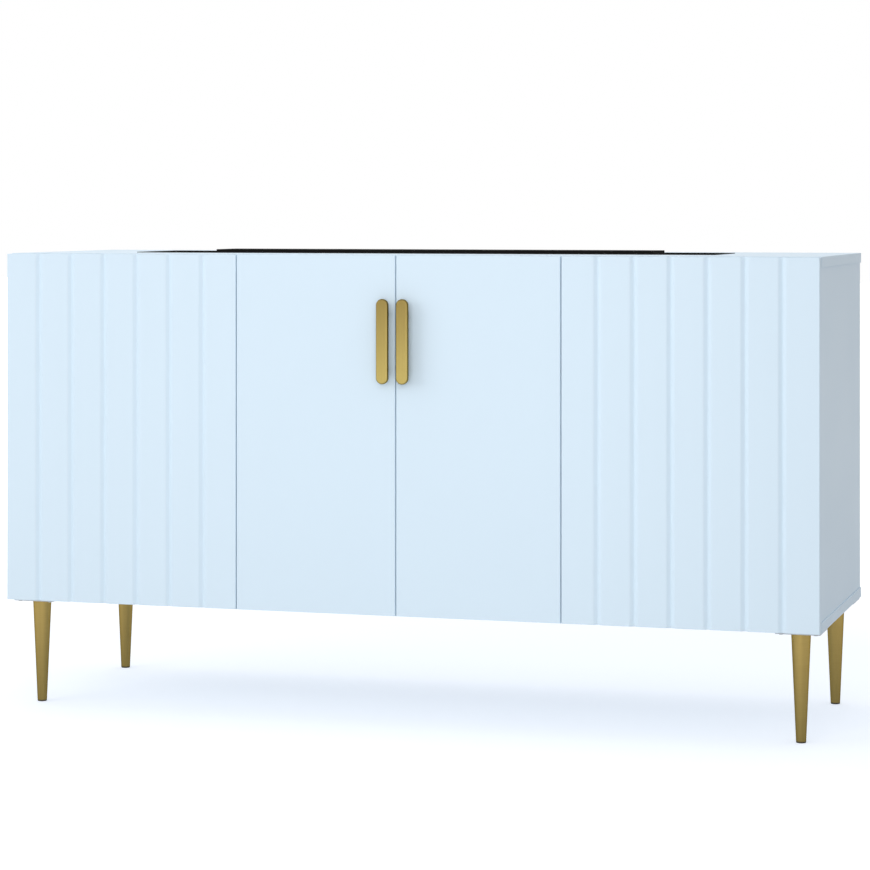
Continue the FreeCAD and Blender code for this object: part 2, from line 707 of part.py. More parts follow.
def hinge_pin_start(side, pin_x, height):
    return mirrored(side, (pin_x, "hinge_pin_back", f"{height} - hinge_pin_length / 2"))


def hinge_arm(name, side, pin_x, reach, rear, height):
    """Bent arm: an eye on the pin, a neck out of the cup, a crank where the board lies further
    back, and a straight end on the mounting plate."""
    low_z = f"{height} - arm_width / 2"
    high_z = f"{height} + arm_width / 2"
    neck_x = f"({pin_x}) - ({reach})"
    rear_x = f"({pin_x}) - ({rear})"
    pieces = [
        cylinder(name + "_eye", "knuckle_diameter / 2", "arm_width",
                 mirrored(side, (pin_x, "hinge_pin_back", low_z))),
        block(name + "_tongue", (f"{neck_x} - arm_thickness", "hinge_pin_back - arm_half", low_z),
              (pin_x, "hinge_pin_back + arm_half", high_z), side),
        block(name + "_neck", (f"{neck_x} - arm_thickness", "hinge_pin_back - arm_half", low_z),
              (neck_x, "crank_front + arm_thickness", high_z), side),
        block(name + "_crank", (f"{neck_x} - arm_thickness", "crank_front", low_z),
              (rear_x, "crank_front + arm_thickness", high_z), side),
        block(name + "_end", (f"{rear_x} - arm_thickness", "crank_front", low_z),
              (rear_x, "plate_back", high_z), side),
    ]
    pin_hole = cylinder(name + "_pin_hole", "hinge_pin_diameter / 2 + running_clearance", "arm_width",
                        mirrored(side, (pin_x, "hinge_pin_back", low_z)))
    return fuse(name + "_bends", pieces), pin_hole


def hinge(door, level, height, groups):
    """One concealed hinge, its screws and its holes."""
    side = DOORS[door]
    name = f"hinge_{door}_{level}"
    hinge_edge, _ = door_edges(door)
    pin_x = f"({hinge_edge}) - hinge_pin_setback"
    if is_outer(door):
        face = "side_inside"
        carrier = "side_panel_" + door.split("_")[0]
        reach = f"({pin_x}) - ({face}) + hinge_plate_thickness"
    else:
        face = "partition_inside"
        carrier = "partition_" + door.split("_")[0]
        reach = "arm_reach"
    plate_face = f"({face}) - hinge_plate_thickness"
    rear = f"({pin_x}) - ({plate_face})"

    cup, boring = hinge_cup(name + "_cup", side, hinge_edge, pin_x, height)
    groups["cups_" + door].append(cup)
    drill(boring, "door_" + door)
    pin = cylinder(name + "_pin", "hinge_pin_diameter / 2", "hinge_pin_length",
                   hinge_pin_start(side, pin_x, height))
    groups["pins_" + door].append(pin)

    plate = block(
        name + "_plate_blank",
        (plate_face, "plate_front", f"{height} - hinge_plate_height / 2"),
        (face, "plate_back", f"{height} + hinge_plate_height / 2"), side)
    outward = sideways(side, "x")
    plate_holes = []
    for along in (-1, 1):
        label = f"{name}_screw_{'high' if along > 0 else 'low'}"
        seat = mirrored(side, (plate_face, "plate_middle", f"{height} + {along} * hinge_screw_spacing / 2"))
        groups["screws"].append(screw(label, "hinge_screw", seat, outward))
        plate_holes.append(screw_hole(label, "hinge_screw", seat, outward))
    arm_seat = mirrored(side, (f"{plate_face} - arm_thickness", "plate_middle", height))
    groups["screws"].append(screw(name + "_screw_arm", "hinge_screw", arm_seat, outward))
    arm_hole = screw_hole(name + "_screw_arm", "hinge_screw", arm_seat, outward)
    for tool in plate_holes + [arm_hole]:
        drill(tool, carrier)
    groups["plates"].append(cut(name + "_plate", plate, plate_holes + [arm_hole]))
    bends, pin_hole = hinge_arm(name + "_arm", side, pin_x, reach, rear, height)
    kind = "outer" if is_outer(door) else "inner"
    groups["arms_" + kind].append(cut(name + "_arm", bends, [pin_hole, arm_hole]))


def make_doors():
    groups = collections.defaultdict(list)
    for door in DOORS:
        for level, height in hinge_heights().items():
            hinge(door, level, height, groups)
        if not is_outer(door):
            pull(door)
        node(cut("door_" + door, door_blank(door), cutters["door_" + door]), "door_" + door)
        node(group("hinge_cups_" + door, groups["cups_" + door]), "hinge_cups_" + door)
        node(group("hinge_pins_" + door, groups["pins_" + door]), "hinge_pins_" + door)
    node(group("hinge_arms_outer", groups["arms_outer"]), "hinge_arms_outer")
    node(group("hinge_arms_inner", groups["arms_inner"]), "hinge_arms_inner")
    node(group("hinge_plates", groups["plates"]), "hinge_plates")
    node(group("hinge_screws", groups["screws"]), "hinge_screws")


# Catches, latches and bumpers

def make_catches():
    catches = []
    for word, side in SIDES.items():
        catches.append(block(
            "catch_" + word,
            ("catch_offset", "catch_front", "inner_top - catch_height"),
            ("catch_offset + catch_length", "catch_front + catch_depth", "inner_top"), side))
        node(block(
            "strike_plate_" + word,
            ("catch_offset + strike_margin", "door_back", "inner_top - catch_height + strike_margin"),
            ("catch_offset + catch_length - strike_margin", "door_back + strike_thickness",
             "inner_top - strike_margin"), side), "strike_plate_" + word)
    node(group("magnetic_catches", catches), "magnetic_catches")


def make_latches():
    housings = []
    for word, side in SIDES.items():
        middle_x = "partition_outside + latch_width / 2"
        blank = block(
            f"latch_{word}_blank",
            ("partition_outside", "latch_front", "latch_middle - latch_height / 2"),
            ("partition_outside + latch_width", "latch_front + latch_length",
             "latch_middle + latch_height / 2"), side)
        bore = cylinder(
            f"latch_{word}_bore", "plunger_diameter / 2 + running_clearance",
            "plunger_end + plunger_travel + plunger_gap - latch_front",
            mirrored(side, (middle_x, "latch_front", "latch_middle")), "y")
        housings.append(cut("latch_" + word, blank, [bore]))
        tip = mirrored(side, (middle_x, "plunger_tip", "latch_middle"))
        node(cylinder("latch_plunger_" + word, "plunger_diameter / 2", "plunger_length", tip, "y"),
             "latch_plunger_" + word)
    node(group("latch_housings", housings), "latch_housings")


def make_bumpers():
    bumpers = []
    strip_x = "(outer_door_edge + partition_outside) / 2"
    for word, side in SIDES.items():
        spots = {
            "outer_low": (strip_x, "door_back", "body_bottom + bumper_inset"),
            "outer_high": (strip_x, "door_back", "body_top - bumper_inset"),
            "inner_low": ("bumper_offset", "door_back", "body_bottom + board / 2"),
            "inner_high": ("bumper_offset", "door_back", "body_top - board / 2"),
        }
        for name, spot in spots.items():
            bumpers.append(cylinder(f"bumper_{word}_{name}", "bumper_diameter / 2", "door_standoff",
                                    mirrored(side, spot), "y"))
    node(group("door_bumpers", bumpers), "door_bumpers")


# Case

UPRIGHTS = {
    "side_panel_left": (-1, "side_middle", "side_inside", "x"),
    "side_panel_right": (1, "side_middle", "side_inside", "x"),
    "partition_left": (-1, "partition_middle", "partition_inside", "x"),
    "partition_right": (1, "partition_middle", "partition_inside", "x"),
}


def front_and_back(inset):
    return {"front": f"carcase_front + {inset}", "back": f"carcase_back - {inset}"}


def make_case_fixings():
    """Dowels, cam locks and cam bolts under the top panel, and screws through the bottom panel."""
    dowels = []
    locks = []
    bolts = []
    screws = []
    for upright, (side, middle, face, inward) in UPRIGHTS.items():
        for place_word, y in front_and_back("dowel_inset").items():
            name = f"dowel_{upright}_{place_word}"
            start = mirrored(side, (middle, y, "inner_top + dowel_seat - dowel_length"))
            dowels.append(cylinder(name, "dowel_diameter / 2", "dowel_length", start))
            drill(cylinder(name + "_hole", "dowel_diameter / 2 + press_clearance", "dowel_length", start),
                  upright, "top_panel")
        for place_word, y in front_and_back("cam_inset").items():
            name = f"cam_{upright}_{place_word}"
            mouth = mirrored(side, (face, y, "cam_middle"))
            inward_here = sideways(side, inward)
            locks.append(cylinder(name, "cam_diameter / 2", "cam_depth", mouth, inward_here))
            drill(cylinder(name + "_hole", "cam_diameter / 2 + press_clearance", "cam_depth", mouth,
                           inward_here), upright)
            bolt_start = mirrored(side, (middle, y, "cam_top"))
            bolt_length = "inner_top + cam_bolt_seat - cam_top"
            bolts.append(cylinder(name + "_bolt", "cam_bolt_diameter / 2", bolt_length, bolt_start))
            drill(cylinder(name + "_bolt_hole", "cam_bolt_diameter / 2 + press_clearance", bolt_length,
                           bolt_start), upright, "top_panel")
        for place_word, y in front_and_back("case_screw_inset").items():
            name = f"case_screw_{upright}_{place_word}"
            seat = mirrored(side, (middle, y, "case_seat"))
            screws.append(screw(name, "case_screw", seat, "z"))
            drill(screw_hole(name, "case_screw", seat, "z"), "bottom_panel", upright)
            drill(sunk_head_hole(name, "case_screw", seat, "z"), "bottom_panel")
    node(group("top_dowels", dowels), "top_dowels")
    node(group("cam_locks", locks), "cam_locks")
    node(group("cam_bolts", bolts), "cam_bolts")
    node(group("case_screws", screws), "case_screws")


def make_back_screws():
    """Flush screws that hold the back panel to the rear edges of the case."""
    spots = []
    for step in (-1.5, -0.5, 0.5, 1.5):
        for name, height in (("top_panel", "body_top - board / 2"), ("bottom_panel", "body_bottom + board / 2")):
            spots.append((name, f"{step} * back_screw_pitch", height))
    for upright, (side, middle, _, _) in UPRIGHTS.items():
        spots.append((upright, f"{side} * {middle}", "(body_bottom + body_top) / 2"))
    screws = []
    for index, (edge, x, height) in enumerate(spots):
        name = f"back_screw_{index}"
        seat = (x, "back_seat", height)
        screws.append(screw(name, "back_screw", seat, "-y"))
        drill(screw_hole(name, "back_screw", seat, "-y"), "back_panel", edge)
        drill(sunk_head_hole(name, "back_screw", seat, "-y"), "back_panel")
    node(group("back_screws", screws), "back_screws")


BAYS = {
    "left": ("-side_inside", "-partition_outside"),
    "centre": ("-partition_inside", "partition_inside"),
    "right": ("partition_outside", "side_inside"),
}
BAY_WALLS = {
    "left": ("side_panel_left", "partition_left"),
    "centre": ("partition_left", "partition_right"),
    "right": ("partition_right", "side_panel_right"),
}


def make_shelves():
    """One shelf in each bay, on four pins in its walls."""
    pins = []
    for bay, (low_x, high_x) in BAYS.items():
        node(block(
            "shelf_" + bay,
            (f"{low_x} + shelf_clearance", "shelf_front", "shelf_bottom"),
            (f"{high_x} - shelf_clearance", "carcase_back - shelf_clearance", "shelf_bottom + shelf_board")),
            "shelf_" + bay)
        walls = zip(BAY_WALLS[bay], (low_x, high_x), (1, -1))
        for wall, face_x, inward in walls:
            for place_word, y in (("front", "shelf_front + shelf_pin_inset"),
                                  ("back", "carcase_back - shelf_pin_inset")):
                name = f"shelf_pin_{bay}_{wall}_{place_word}"
                start = (f"{face_x} - {inward} * shelf_pin_seat", y, "shelf_pin_middle")
                direction = sideways(inward, "x")
                pins.append(cylinder(name, "shelf_pin_diameter / 2", "shelf_pin_seat + shelf_pin_reach",
                                     start, direction))
                drill(cylinder(name + "_hole", "shelf_pin_diameter / 2 + press_clearance", "shelf_pin_seat",
                               start, direction), wall)
    node(group("shelf_pins", pins), "shelf_pins")


def make_cable_outlets():
    """Ring with an inner flange in each of the two cable holes."""
    rings = []
    for word, side in SIDES.items():
        name = "outlet_" + word
        flange_start = (f"{side} * outlet_offset", "carcase_back - outlet_flange_thickness",
                        "body_bottom + outlet_rise")
        tube_length = "outlet_flange_thickness + back_board"
        flange = cylinder(name + "_flange", "outlet_diameter / 2 + outlet_flange", "outlet_flange_thickness",
                          flange_start, "y")
        tube = cylinder(name + "_tube", "outlet_diameter / 2 - press_clearance", tube_length, flange_start, "y")
        bore = cylinder(name + "_bore", "outlet_diameter / 2 - outlet_wall", tube_length, flange_start, "y")
        rings.append(cut(name, fuse(name + "_ring", [flange, tube]), [bore]))
        drill(cylinder(name + "_hole", "outlet_diameter / 2", tube_length, flange_start, "y"), "back_panel")
    node(group("cable_outlets", rings), "cable_outlets")


def make_boards():
    cutout = block(
        "top_cutout",
        ("-casing_length / 2 - cutout_clearance", "carcase_middle - casing_width / 2 - cutout_clearance",
         "inner_top"),
        ("casing_length / 2 + cutout_clearance", "carcase_middle + casing_width / 2 + cutout_clearance",
         "body_top"))
    drill(cutout, "top_panel")
    board("top_panel", ("-width / 2", "carcase_front", "inner_top"), ("width / 2", "carcase_back", "body_top"))
    board("bottom_panel", ("-width / 2", "carcase_front", "body_bottom"),
          ("width / 2", "carcase_back", "inner_bottom"))
    for word, side in SIDES.items():
        board("side_panel_" + word, ("side_inside", "carcase_front", "inner_bottom"),
              ("side_outside", "carcase_back", "inner_top"), side)
        notch = block(
            f"partition_{word}_notch",
            ("partition_inside", "carcase_middle - notch_half", "shield_bottom - notch_clearance"),
            ("partition_outside", "carcase_middle + notch_half", "inner_top"), side)
        drill(notch, "partition_" + word)
        board("partition_" + word, ("partition_inside", "carcase_front", "inner_bottom"),
              ("partition_outside", "carcase_back", "inner_top"), side)
    board("back_panel", ("back_margin - width / 2", "carcase_back", "body_bottom + back_margin"),
          ("width / 2 - back_margin", "back_rear", "body_top - back_margin"))


# Fire insert

def centred_block(name, half_length, half_width, bottom, top):
    """Box around the middle of the insert."""
    return block(name, (f"-({half_length})", f"carcase_middle - ({half_width})", bottom),
                 (half_length, f"carcase_middle + ({half_width})", top))


def slot_blocks(name, bottom, top):
    """One cutter for each flame slot."""
    blocks = []
    count = int(number("slot_count"))
    for index in range(count):
        middle = f"({index} - (slot_count - 1) / 2) * slot_pitch"
        blocks.append(block(
            f"{name}_slot_{index}",
            (f"{middle} - slot_length / 2", "carcase_middle - slot_width / 2", bottom),
            (f"{middle} + slot_length / 2", "carcase_middle + slot_width / 2", top)))
    return blocks


def make_casing():
    """Drop-in tray whose flange rests on the top panel."""
    tray = centred_block("casing_tray", "casing_length / 2", "casing_width / 2", "casing_floor", "body_top")
    flange = block(
        "casing_flange",
        ("-flange_length / 2 - flange_shift", "carcase_middle - flange_width / 2", "body_top"),
        ("flange_length / 2 - flange_shift", "carcase_middle + flange_width / 2", "body_top + flange_thickness"))
    hollow = centred_block("casing_hollow", "casing_length / 2 - casing_sheet",
                           "casing_width / 2 - casing_sheet", "tank_bottom", "body_top + flange_thickness")
    node(cut("fire_casing", fuse("casing_outside", [tray, flange]), [hollow]), "fire_casing")


def make_shield():
    """Sheet tray around the casing, screwed up under the top panel."""
    tray = centred_block("shield_tray", "shield_inner_length + shield_sheet",
                         "shield_inner_width + shield_sheet", "shield_bottom", "inner_top")
    flange = centred_block("shield_lip", "shield_inner_length + shield_sheet + shield_flange",
                           "shield_inner_width + shield_sheet + shield_flange",
                           "inner_top - shield_sheet", "inner_top")
    hollow = centred_block("shield_hollow", "shield_inner_length", "shield_inner_width",
                           "shield_bottom + shield_sheet", "inner_top")
    holes = []
    screws = []
    for along in (-1, 1):
        for index, step in enumerate((-1.5, -0.5, 0.5, 1.5)):
            name = f"shield_screw_{'back' if along > 0 else 'front'}_{index}"
            seat = (f"{step} * shield_screw_pitch", f"carcase_middle + {along} * shield_screw_line",
                    "inner_top - shield_sheet")
            screws.append(screw(name, "shield_screw", seat, "z"))
            hole = screw_hole(name, "shield_screw", seat, "z")
            holes.append(hole)
            drill(hole, "top_panel")
    node(cut("heat_shield", fuse("shield_outside", [tray, flange]), [hollow] + holes), "heat_shield")
    node(group("shield_screws", screws), "shield_screws")


def make_burner():
    """Fuel tank with its wool, the slotted cap over it and the regulator that slides under the cap."""
    outside = centred_block("tank_outside", "tank_length / 2", "tank_width / 2", "tank_bottom", "tank_top")
    inside = centred_block("tank_inside", "tank_length / 2 - tank_sheet", "tank_inner_half",
                           "tank_bottom + tank_sheet", "tank_top")
    node(cut("fuel_tank", outside, [inside]), "fuel_tank")

    node(centred_block("burner_wool", "tank_length / 2 - tank_sheet - wool_clearance",
                       "tank_inner_half - wool_clearance", "tank_bottom + tank_sheet", "wool_top"),
         "burner_wool")

    shell = centred_block("cap_outside", "cap_half_length", "cap_half_width", "cap_top - cap_rim", "cap_top")
    room = centred_block("cap_inside", "cap_half_length - cap_sheet", "cap_half_width - cap_sheet",
                         "cap_top - cap_rim", "tank_top")
    hook_half = "slider_hook_diameter / 2 + hook_slot_room"
    hook_slot = block(
        "hook_slot", (f"hook_x - ({hook_half})", f"carcase_middle - ({hook_half})", "tank_top"),
        (f"hook_x + slider_travel + {hook_half}", f"carcase_middle + {hook_half}", "cap_top"))
    node(cut("burner_cap", shell, [room, hook_slot] + slot_blocks("cap", "tank_top", "cap_top")), "burner_cap")

    guides = []
    for along, word in ((-1, "front"), (1, "back")):
        near = f"carcase_middle + {along} * tank_inner_half"
        far = f"carcase_middle + {along} * (tank_inner_half - guide_width)"
        low_y, high_y = (near, far) if along < 0 else (far, near)
        guides.append(block(
            "slider_guide_" + word, ("tank_sheet - tank_length / 2", low_y, "guide_bottom"),
            ("tank_length / 2 - tank_sheet", high_y, "guide_top")))
    node(group("slider_guides", guides), "slider_guides")

    plate = block(
        "slider_plate",
        ("hook_x - slider_hook_diameter / 2 - slider_margin", "carcase_middle - tank_inner_half + slider_margin",
         "guide_top"),
        ("slots_half + slider_end", "carcase_middle + tank_inner_half - slider_margin", "slider_top"))
    hook_hole = cylinder("slider_hook_hole", "slider_hook_diameter / 2", "slider_sheet",
                         ("hook_x", "carcase_middle", "guide_top"))
    node(cut("flame_regulator", plate, [hook_hole] + slot_blocks("slider", "guide_top", "slider_top")),
         "flame_regulator")


# Building, testing and writing

def check_document():
    """Stop if anything failed to build, is invalid, or was meant to cut and didn't."""
    for item in doc.Objects:
        if "Invalid" in item.State or "Error" in item.State:
            raise RuntimeError(f"{item.Name} failed: {item.State}")
        if item.isDerivedFrom("PartDesign::Pocket") and item.Shape.Volume >= item.BaseFeature.Shape.Volume:
            raise RuntimeError(f"{item.Name} cuts nothing")
    for item in nodes:
        if item.Shape.isNull() or not item.Shape.isValid() or not item.Shape.Solids:
            raise RuntimeError(f"{item.Label} has no valid shape")


def main():
    fill_sheet()
    make_legs()
    make_doors()
    make_catches()
    make_latches()
    make_bumpers()
    make_case_fixings()
    make_back_screws()
    make_shelves()
    make_cable_outlets()
    make_casing()
    make_shield()
    make_burner()
    make_boards()
    doc.recompute()
    check_document()
    os.makedirs("parts", exist_ok=True)
    for item in nodes:
        item.Shape.exportStep(f"parts/{item.Label}.step")
    print(len(nodes), "nodes,", sum(len(item.Shape.Solids) for item in nodes), "solids")


main()
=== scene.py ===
"""Looks of a lacquered tv stand: grooved doors, brass legs and pulls, and a fuel burner sunk in the top."""

import json
import math

import bmesh
import bpy
from mathutils import Matrix, Vector, noise

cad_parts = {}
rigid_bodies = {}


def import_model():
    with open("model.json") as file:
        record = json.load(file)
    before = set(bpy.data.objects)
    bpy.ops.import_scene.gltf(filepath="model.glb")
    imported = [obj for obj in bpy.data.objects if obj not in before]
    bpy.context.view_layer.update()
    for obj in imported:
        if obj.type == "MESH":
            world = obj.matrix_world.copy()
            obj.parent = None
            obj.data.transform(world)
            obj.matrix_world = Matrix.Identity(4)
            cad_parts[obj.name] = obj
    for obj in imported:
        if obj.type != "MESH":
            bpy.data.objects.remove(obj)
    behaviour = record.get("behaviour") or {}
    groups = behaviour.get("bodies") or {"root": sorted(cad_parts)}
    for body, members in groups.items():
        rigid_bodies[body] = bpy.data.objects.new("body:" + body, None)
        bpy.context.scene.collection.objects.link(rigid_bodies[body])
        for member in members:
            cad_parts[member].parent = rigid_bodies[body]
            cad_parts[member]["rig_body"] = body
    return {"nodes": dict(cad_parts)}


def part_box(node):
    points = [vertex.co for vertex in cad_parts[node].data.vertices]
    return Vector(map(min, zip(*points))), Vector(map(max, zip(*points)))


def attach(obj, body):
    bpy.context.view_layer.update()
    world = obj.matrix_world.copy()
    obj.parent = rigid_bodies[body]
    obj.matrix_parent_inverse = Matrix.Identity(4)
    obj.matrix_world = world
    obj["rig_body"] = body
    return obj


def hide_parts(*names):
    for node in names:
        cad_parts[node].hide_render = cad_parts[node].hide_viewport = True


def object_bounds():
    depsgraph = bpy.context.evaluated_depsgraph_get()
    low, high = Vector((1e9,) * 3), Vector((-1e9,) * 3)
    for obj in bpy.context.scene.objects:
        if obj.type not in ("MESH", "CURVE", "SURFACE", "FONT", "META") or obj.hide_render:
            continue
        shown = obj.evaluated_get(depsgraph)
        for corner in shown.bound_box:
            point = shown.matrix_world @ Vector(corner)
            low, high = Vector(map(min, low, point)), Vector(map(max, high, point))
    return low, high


bl_info = {
    "name": "Fireplace TV Stand",
    "version": (1, 0, 0),
    "blender": (4, 5, 0),
    "location": "3D View > Sidebar > TV Stand",
    "description": "Finishes the pieces of a lacquered tv stand with a fuel burner in its top",
    "category": "Object",
}

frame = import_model()
CAD_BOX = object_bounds()

MM = 0.001
TURN = 2 * math.pi
WELD = 1e-6
FLAT_ANGLE = math.radians(1)
CREASE_ANGLE = math.radians(38)
LONG_EDGE = 4 * MM
STRAIGHT = 0.99
SLOPE_LOW, SLOPE_HIGH = 0.6, 0.95
SAME_LEVEL = 0.02 * MM
SCREW_TURN = 1.3
WHITE = (1.0, 1.0, 1.0, 1.0)
BRASS_RIM = (0.45, 0.40, 0.30, 1.0)
DUST_GREY = (0.12, 0.115, 0.11, 1.0)

DOORS = ("left_outer", "left_inner", "right_inner", "right_outer")
CASE_BOARDS = ("top_panel", "bottom_panel", "side_panel_left", "side_panel_right",
               "partition_left", "partition_right")
SHELVES = ("shelf_left", "shelf_centre", "shelf_right")
LEGS = ("leg_front_left", "leg_front_right", "leg_back_left", "leg_back_right")
PULLS = ("pull_left", "pull_right")


# Settings that a user would change

def colour(name, description, default):
    """Colour setting, in linear light."""
    return bpy.props.FloatVectorProperty(
        name=name, description=description, default=default, subtype="COLOR", size=3, min=0.0, max=1.0)


def length(name, description, default):
    """Length setting, in metres."""
    return bpy.props.FloatProperty(
        name=name, description=description, default=default, unit="LENGTH", min=0.0, precision=5)


def place(name, description, default):
    """Place setting, in metres."""
    return bpy.props.FloatVectorProperty(
        name=name, description=description, default=default, subtype="XYZ", unit="LENGTH", size=3)


def power(name, description, default):
    """Lamp power setting, in watts."""
    return bpy.props.FloatProperty(name=name, description=description, default=default, unit="POWER", min=0.0)


def number(name, description, default, unit="NONE"):
    """Plain number setting."""
    return bpy.props.FloatProperty(name=name, description=description, default=default, unit=unit)


class StandColours(bpy.types.PropertyGroup):
    """Colours of the finishes."""
    lacquer: colour("Lacquer", "Satin lacquer of the boards and doors", (0.742, 0.878, 0.985))
    back_sheet: colour("Back sheet", "Foil of the thin back panel", (0.66, 0.78, 0.88))
    # Painted shade: the darker brass painted on the feet of the legs, the tops of the pulls and the rims of
    # the pulls.
    painted_shade_brass: colour("Dull brass", "Brass at the feet of the legs and the tops of the pulls",
                       (0.230, 0.168, 0.053))
    brass: colour("Brass", "Brushed brass of the legs and pulls", (0.408, 0.289, 0.093))
    # Painted highlight: the lighter brass painted on the bottoms of the pulls, where they would reflect the
    # bright floor.
    painted_highlight_brass: colour("Rubbed brass", "Brass where hands keep it bright", (0.42, 0.33, 0.108))
    fire_black: colour("Fire black", "Heat-proof coat of the fire insert", (0.011, 0.0105, 0.0101))
    plate_grey: colour("Plate grey", "Powder coat of the leg plates", (0.68, 0.71, 0.74))
    galvanised: colour("Galvanised", "Zinc skin of the heat shield", (0.50, 0.52, 0.54))
    stainless: colour("Stainless", "Brushed sheet of the fuel tank", (0.52, 0.51, 0.49))
    nickel: colour("Nickel", "Plating of the hinges and pins", (0.60, 0.58, 0.55))
    zinc: colour("Zinc", "Plating of the screws", (0.55, 0.55, 0.53))
    wool: colour("Wool", "Ceramic fibre in the tank", (0.74, 0.71, 0.65))
    beech: colour("Beech", "Dowels", (0.52, 0.34, 0.18))
    dark_plastic: colour("Dark plastic", "Latches and catches", (0.028, 0.028, 0.03))
    glide_brown: colour("Glide brown", "Glides under the legs", (0.055, 0.044, 0.022))
    pale_plastic: colour("Pale plastic", "Rings of the cable outlets", (0.80, 0.87, 0.92))
    rubber: colour("Rubber", "Door bumpers", (0.62, 0.64, 0.65))


class StandSizes(bpy.types.PropertyGroup):
    """Sizes of the finishing details."""
    board_edge: length("Board edge", "Softening of the edges of the case boards", 0.6 * MM)
    door_edge: length("Door edge", "Softening of the door ends", 0.8 * MM)
    groove_lip: length("Groove lip", "Softening of the lips of the door grooves", 2.0 * MM)
    sheet_edge: length("Sheet edge", "Softening of sheet metal edges", 0.35 * MM)
    fitting_edge: length("Fitting edge", "Softening of hinges, catches and latches", 0.3 * MM)
    ring_edge: length("Ring edge", "Softening of the cable rings", 0.7 * MM)
    leg_rim: length("Leg rim", "Rounding of the rims of a leg", 0.9 * MM)
    stud_pitch: length("Stud pitch", "Thread pitch of the studs on the legs", 1.25 * MM)
    screw_pitch: length("Screw pitch", "Thread pitch of the wood screws", 1.6 * MM)
    wool_lump: length("Wool lump", "Depth of the hollows in the wool", 4.0 * MM)


class StandStage(bpy.types.PropertyGroup):
    """Camera, lamps and floor."""
    camera_place: place("Camera place", "Where the camera stands", (1.47257, -4.89612, 0.90909))
    camera_turn: bpy.props.FloatProperty(
        name="Camera turn", description="Turn of the level camera about the upright",
        default=math.radians(16.722), subtype="ANGLE")
    lens: number("Lens", "Focal length in millimetres on a 36 mm frame", 114.685, unit="CAMERA")
    rise: number("Rise", "Upright shift of the level camera, as a share of the frame", -0.2571)
    floor_half: length("Floor half", "Half the side of the floor", 30.0)
    floor_tone: colour("Floor tone", "Colour of the floor", (0.62, 0.62, 0.62))
    floor_glow: colour("Floor glow", "Paper white that the floor shows by itself", (0.525, 0.57, 0.642))
    glow_near: length("Glow near", "Distance from the stand where the floor starts to turn white", 1.1)
    glow_far: length("Glow far", "Distance from the stand where the floor is white", 4.0)
    key_place: place("Key place", "Where the lamp on the left hangs", (-2.8, -2.3, 1.6))
    key_size: length("Key size", "Side of the lamp on the left", 2.4)
    key_power: power("Key power", "Power of the lamp on the left", 31.5)
    fill_place: place("Fill place", "Where the soft lamp in front hangs", (0.4, -2.4, 1.0))
    fill_size: length("Fill size", "Side of the soft lamp in front", 1.6)
    fill_power: power("Fill power", "Power of the soft lamp in front", 17.6)
    top_place: place("Top place", "Where the soft lamp overhead hangs", (-0.6, 0.8, 3.2))
    top_size: length("Top size", "Side of the soft lamp overhead", 3.6)
    top_power: power("Top power", "Power of the soft lamp overhead", 28.0)
    room_light: number("Room light", "Strength of the light from all round", 0.565)
    room_tone: colour("Room tone", "Colour of the light from all round", (0.97, 0.98, 1.0))


# Mesh helpers

def welded(node):
    """Copy of a CAD piece's mesh with flat faces made whole."""
    shape = bmesh.new()
    shape.from_mesh(frame["nodes"][node].data)
    bmesh.ops.remove_doubles(shape, verts=shape.verts, dist=WELD)
    bmesh.ops.dissolve_limit(shape, angle_limit=FLAT_ANGLE, verts=shape.verts, edges=shape.edges)
    return shape


def is_crease(edge):
    """Whether two faces meet at a clear angle."""
    return edge.is_manifold and edge.calc_face_angle(0) > CREASE_ANGLE


def at_end(edge):
    """Whether an edge borders a level face, as at the ends of a door."""
    return any(abs(face.normal.z) > STRAIGHT for face in edge.link_faces)


def list_by_place(faces):
    """Put faces in the order of their places, because a bevel may list them in another order each run."""
    for index, face in enumerate(sorted(faces, key=lambda face: tuple(face.calc_center_median()))):
        face.index = index
    faces.sort()


def soften(shape, width, chosen):
    """Round the outward edges that are chosen."""
    edges = [edge for edge in shape.edges if edge.is_manifold and edge.is_convex and chosen(edge)]
    bmesh.ops.bevel(shape, geom=edges, offset=width, offset_type="OFFSET", segments=2, profile=0.5,
                    affect="EDGES", clamp_overlap=True)
    list_by_place(shape.faces)


def long_edges(edge):
    """Creases that aren't steps of a small round."""
    return is_crease(edge) and edge.calc_length() > LONG_EDGE


def end_edges(edge):
    """Edges of a door's level ends."""
    return is_crease(edge) and at_end(edge)


def groove_lips(edge):
    """Edges where a groove's slope meets the front of its door."""
    if at_end(edge):
        return False
    front, slope = sorted(-face.normal.y for face in edge.link_faces)[::-1]
    return front > STRAIGHT and SLOPE_LOW < slope < SLOPE_HIGH


def settle(piece):
    """Keep a piece's mesh as its modifiers leave it."""
    depsgraph = bpy.context.evaluated_depsgraph_get()
    shaped = bpy.data.meshes.new_from_object(piece.evaluated_get(depsgraph))
    piece.modifiers.clear()
    piece.data = shaped


def make_object(name, shape, material):
    """Object of a finished shape, shaded smooth up to its creases."""
    for face in shape.faces:
        face.smooth = True
    for edge in shape.edges:
        edge.smooth = not is_crease(edge)
    data = bpy.data.meshes.new(name)
    shape.to_mesh(data)
    shape.free()
    if "custom_normal" in data.attributes:
        data.attributes.remove(data.attributes["custom_normal"])
    data.materials.clear()
    data.materials.append(material)
    piece = bpy.data.objects.new(name, data)
    bpy.context.scene.collection.objects.link(piece)
    even = piece.modifiers.new("even_shading", "WEIGHTED_NORMAL")
    even.keep_sharp = True
    settle(piece)
    return piece


def take_place(piece, *nodes):
    """Show a piece instead of CAD pieces: it moves with their body and keeps their slot."""
    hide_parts(*nodes)
    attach(piece, frame["nodes"][nodes[0]]["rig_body"])
    return piece


def dress(node, material, width, chosen=long_edges):
    """CAD piece with softened edges and its finish."""
    shape = welded(node)
    soften(shape, width, chosen)
    return take_place(make_object(node + "_finished", shape, material), node)


def paint(node, material):
    """Finish on a CAD piece whose shape stays."""
    data = frame["nodes"][node].data
    data.materials.clear()
    data.materials.append(material)


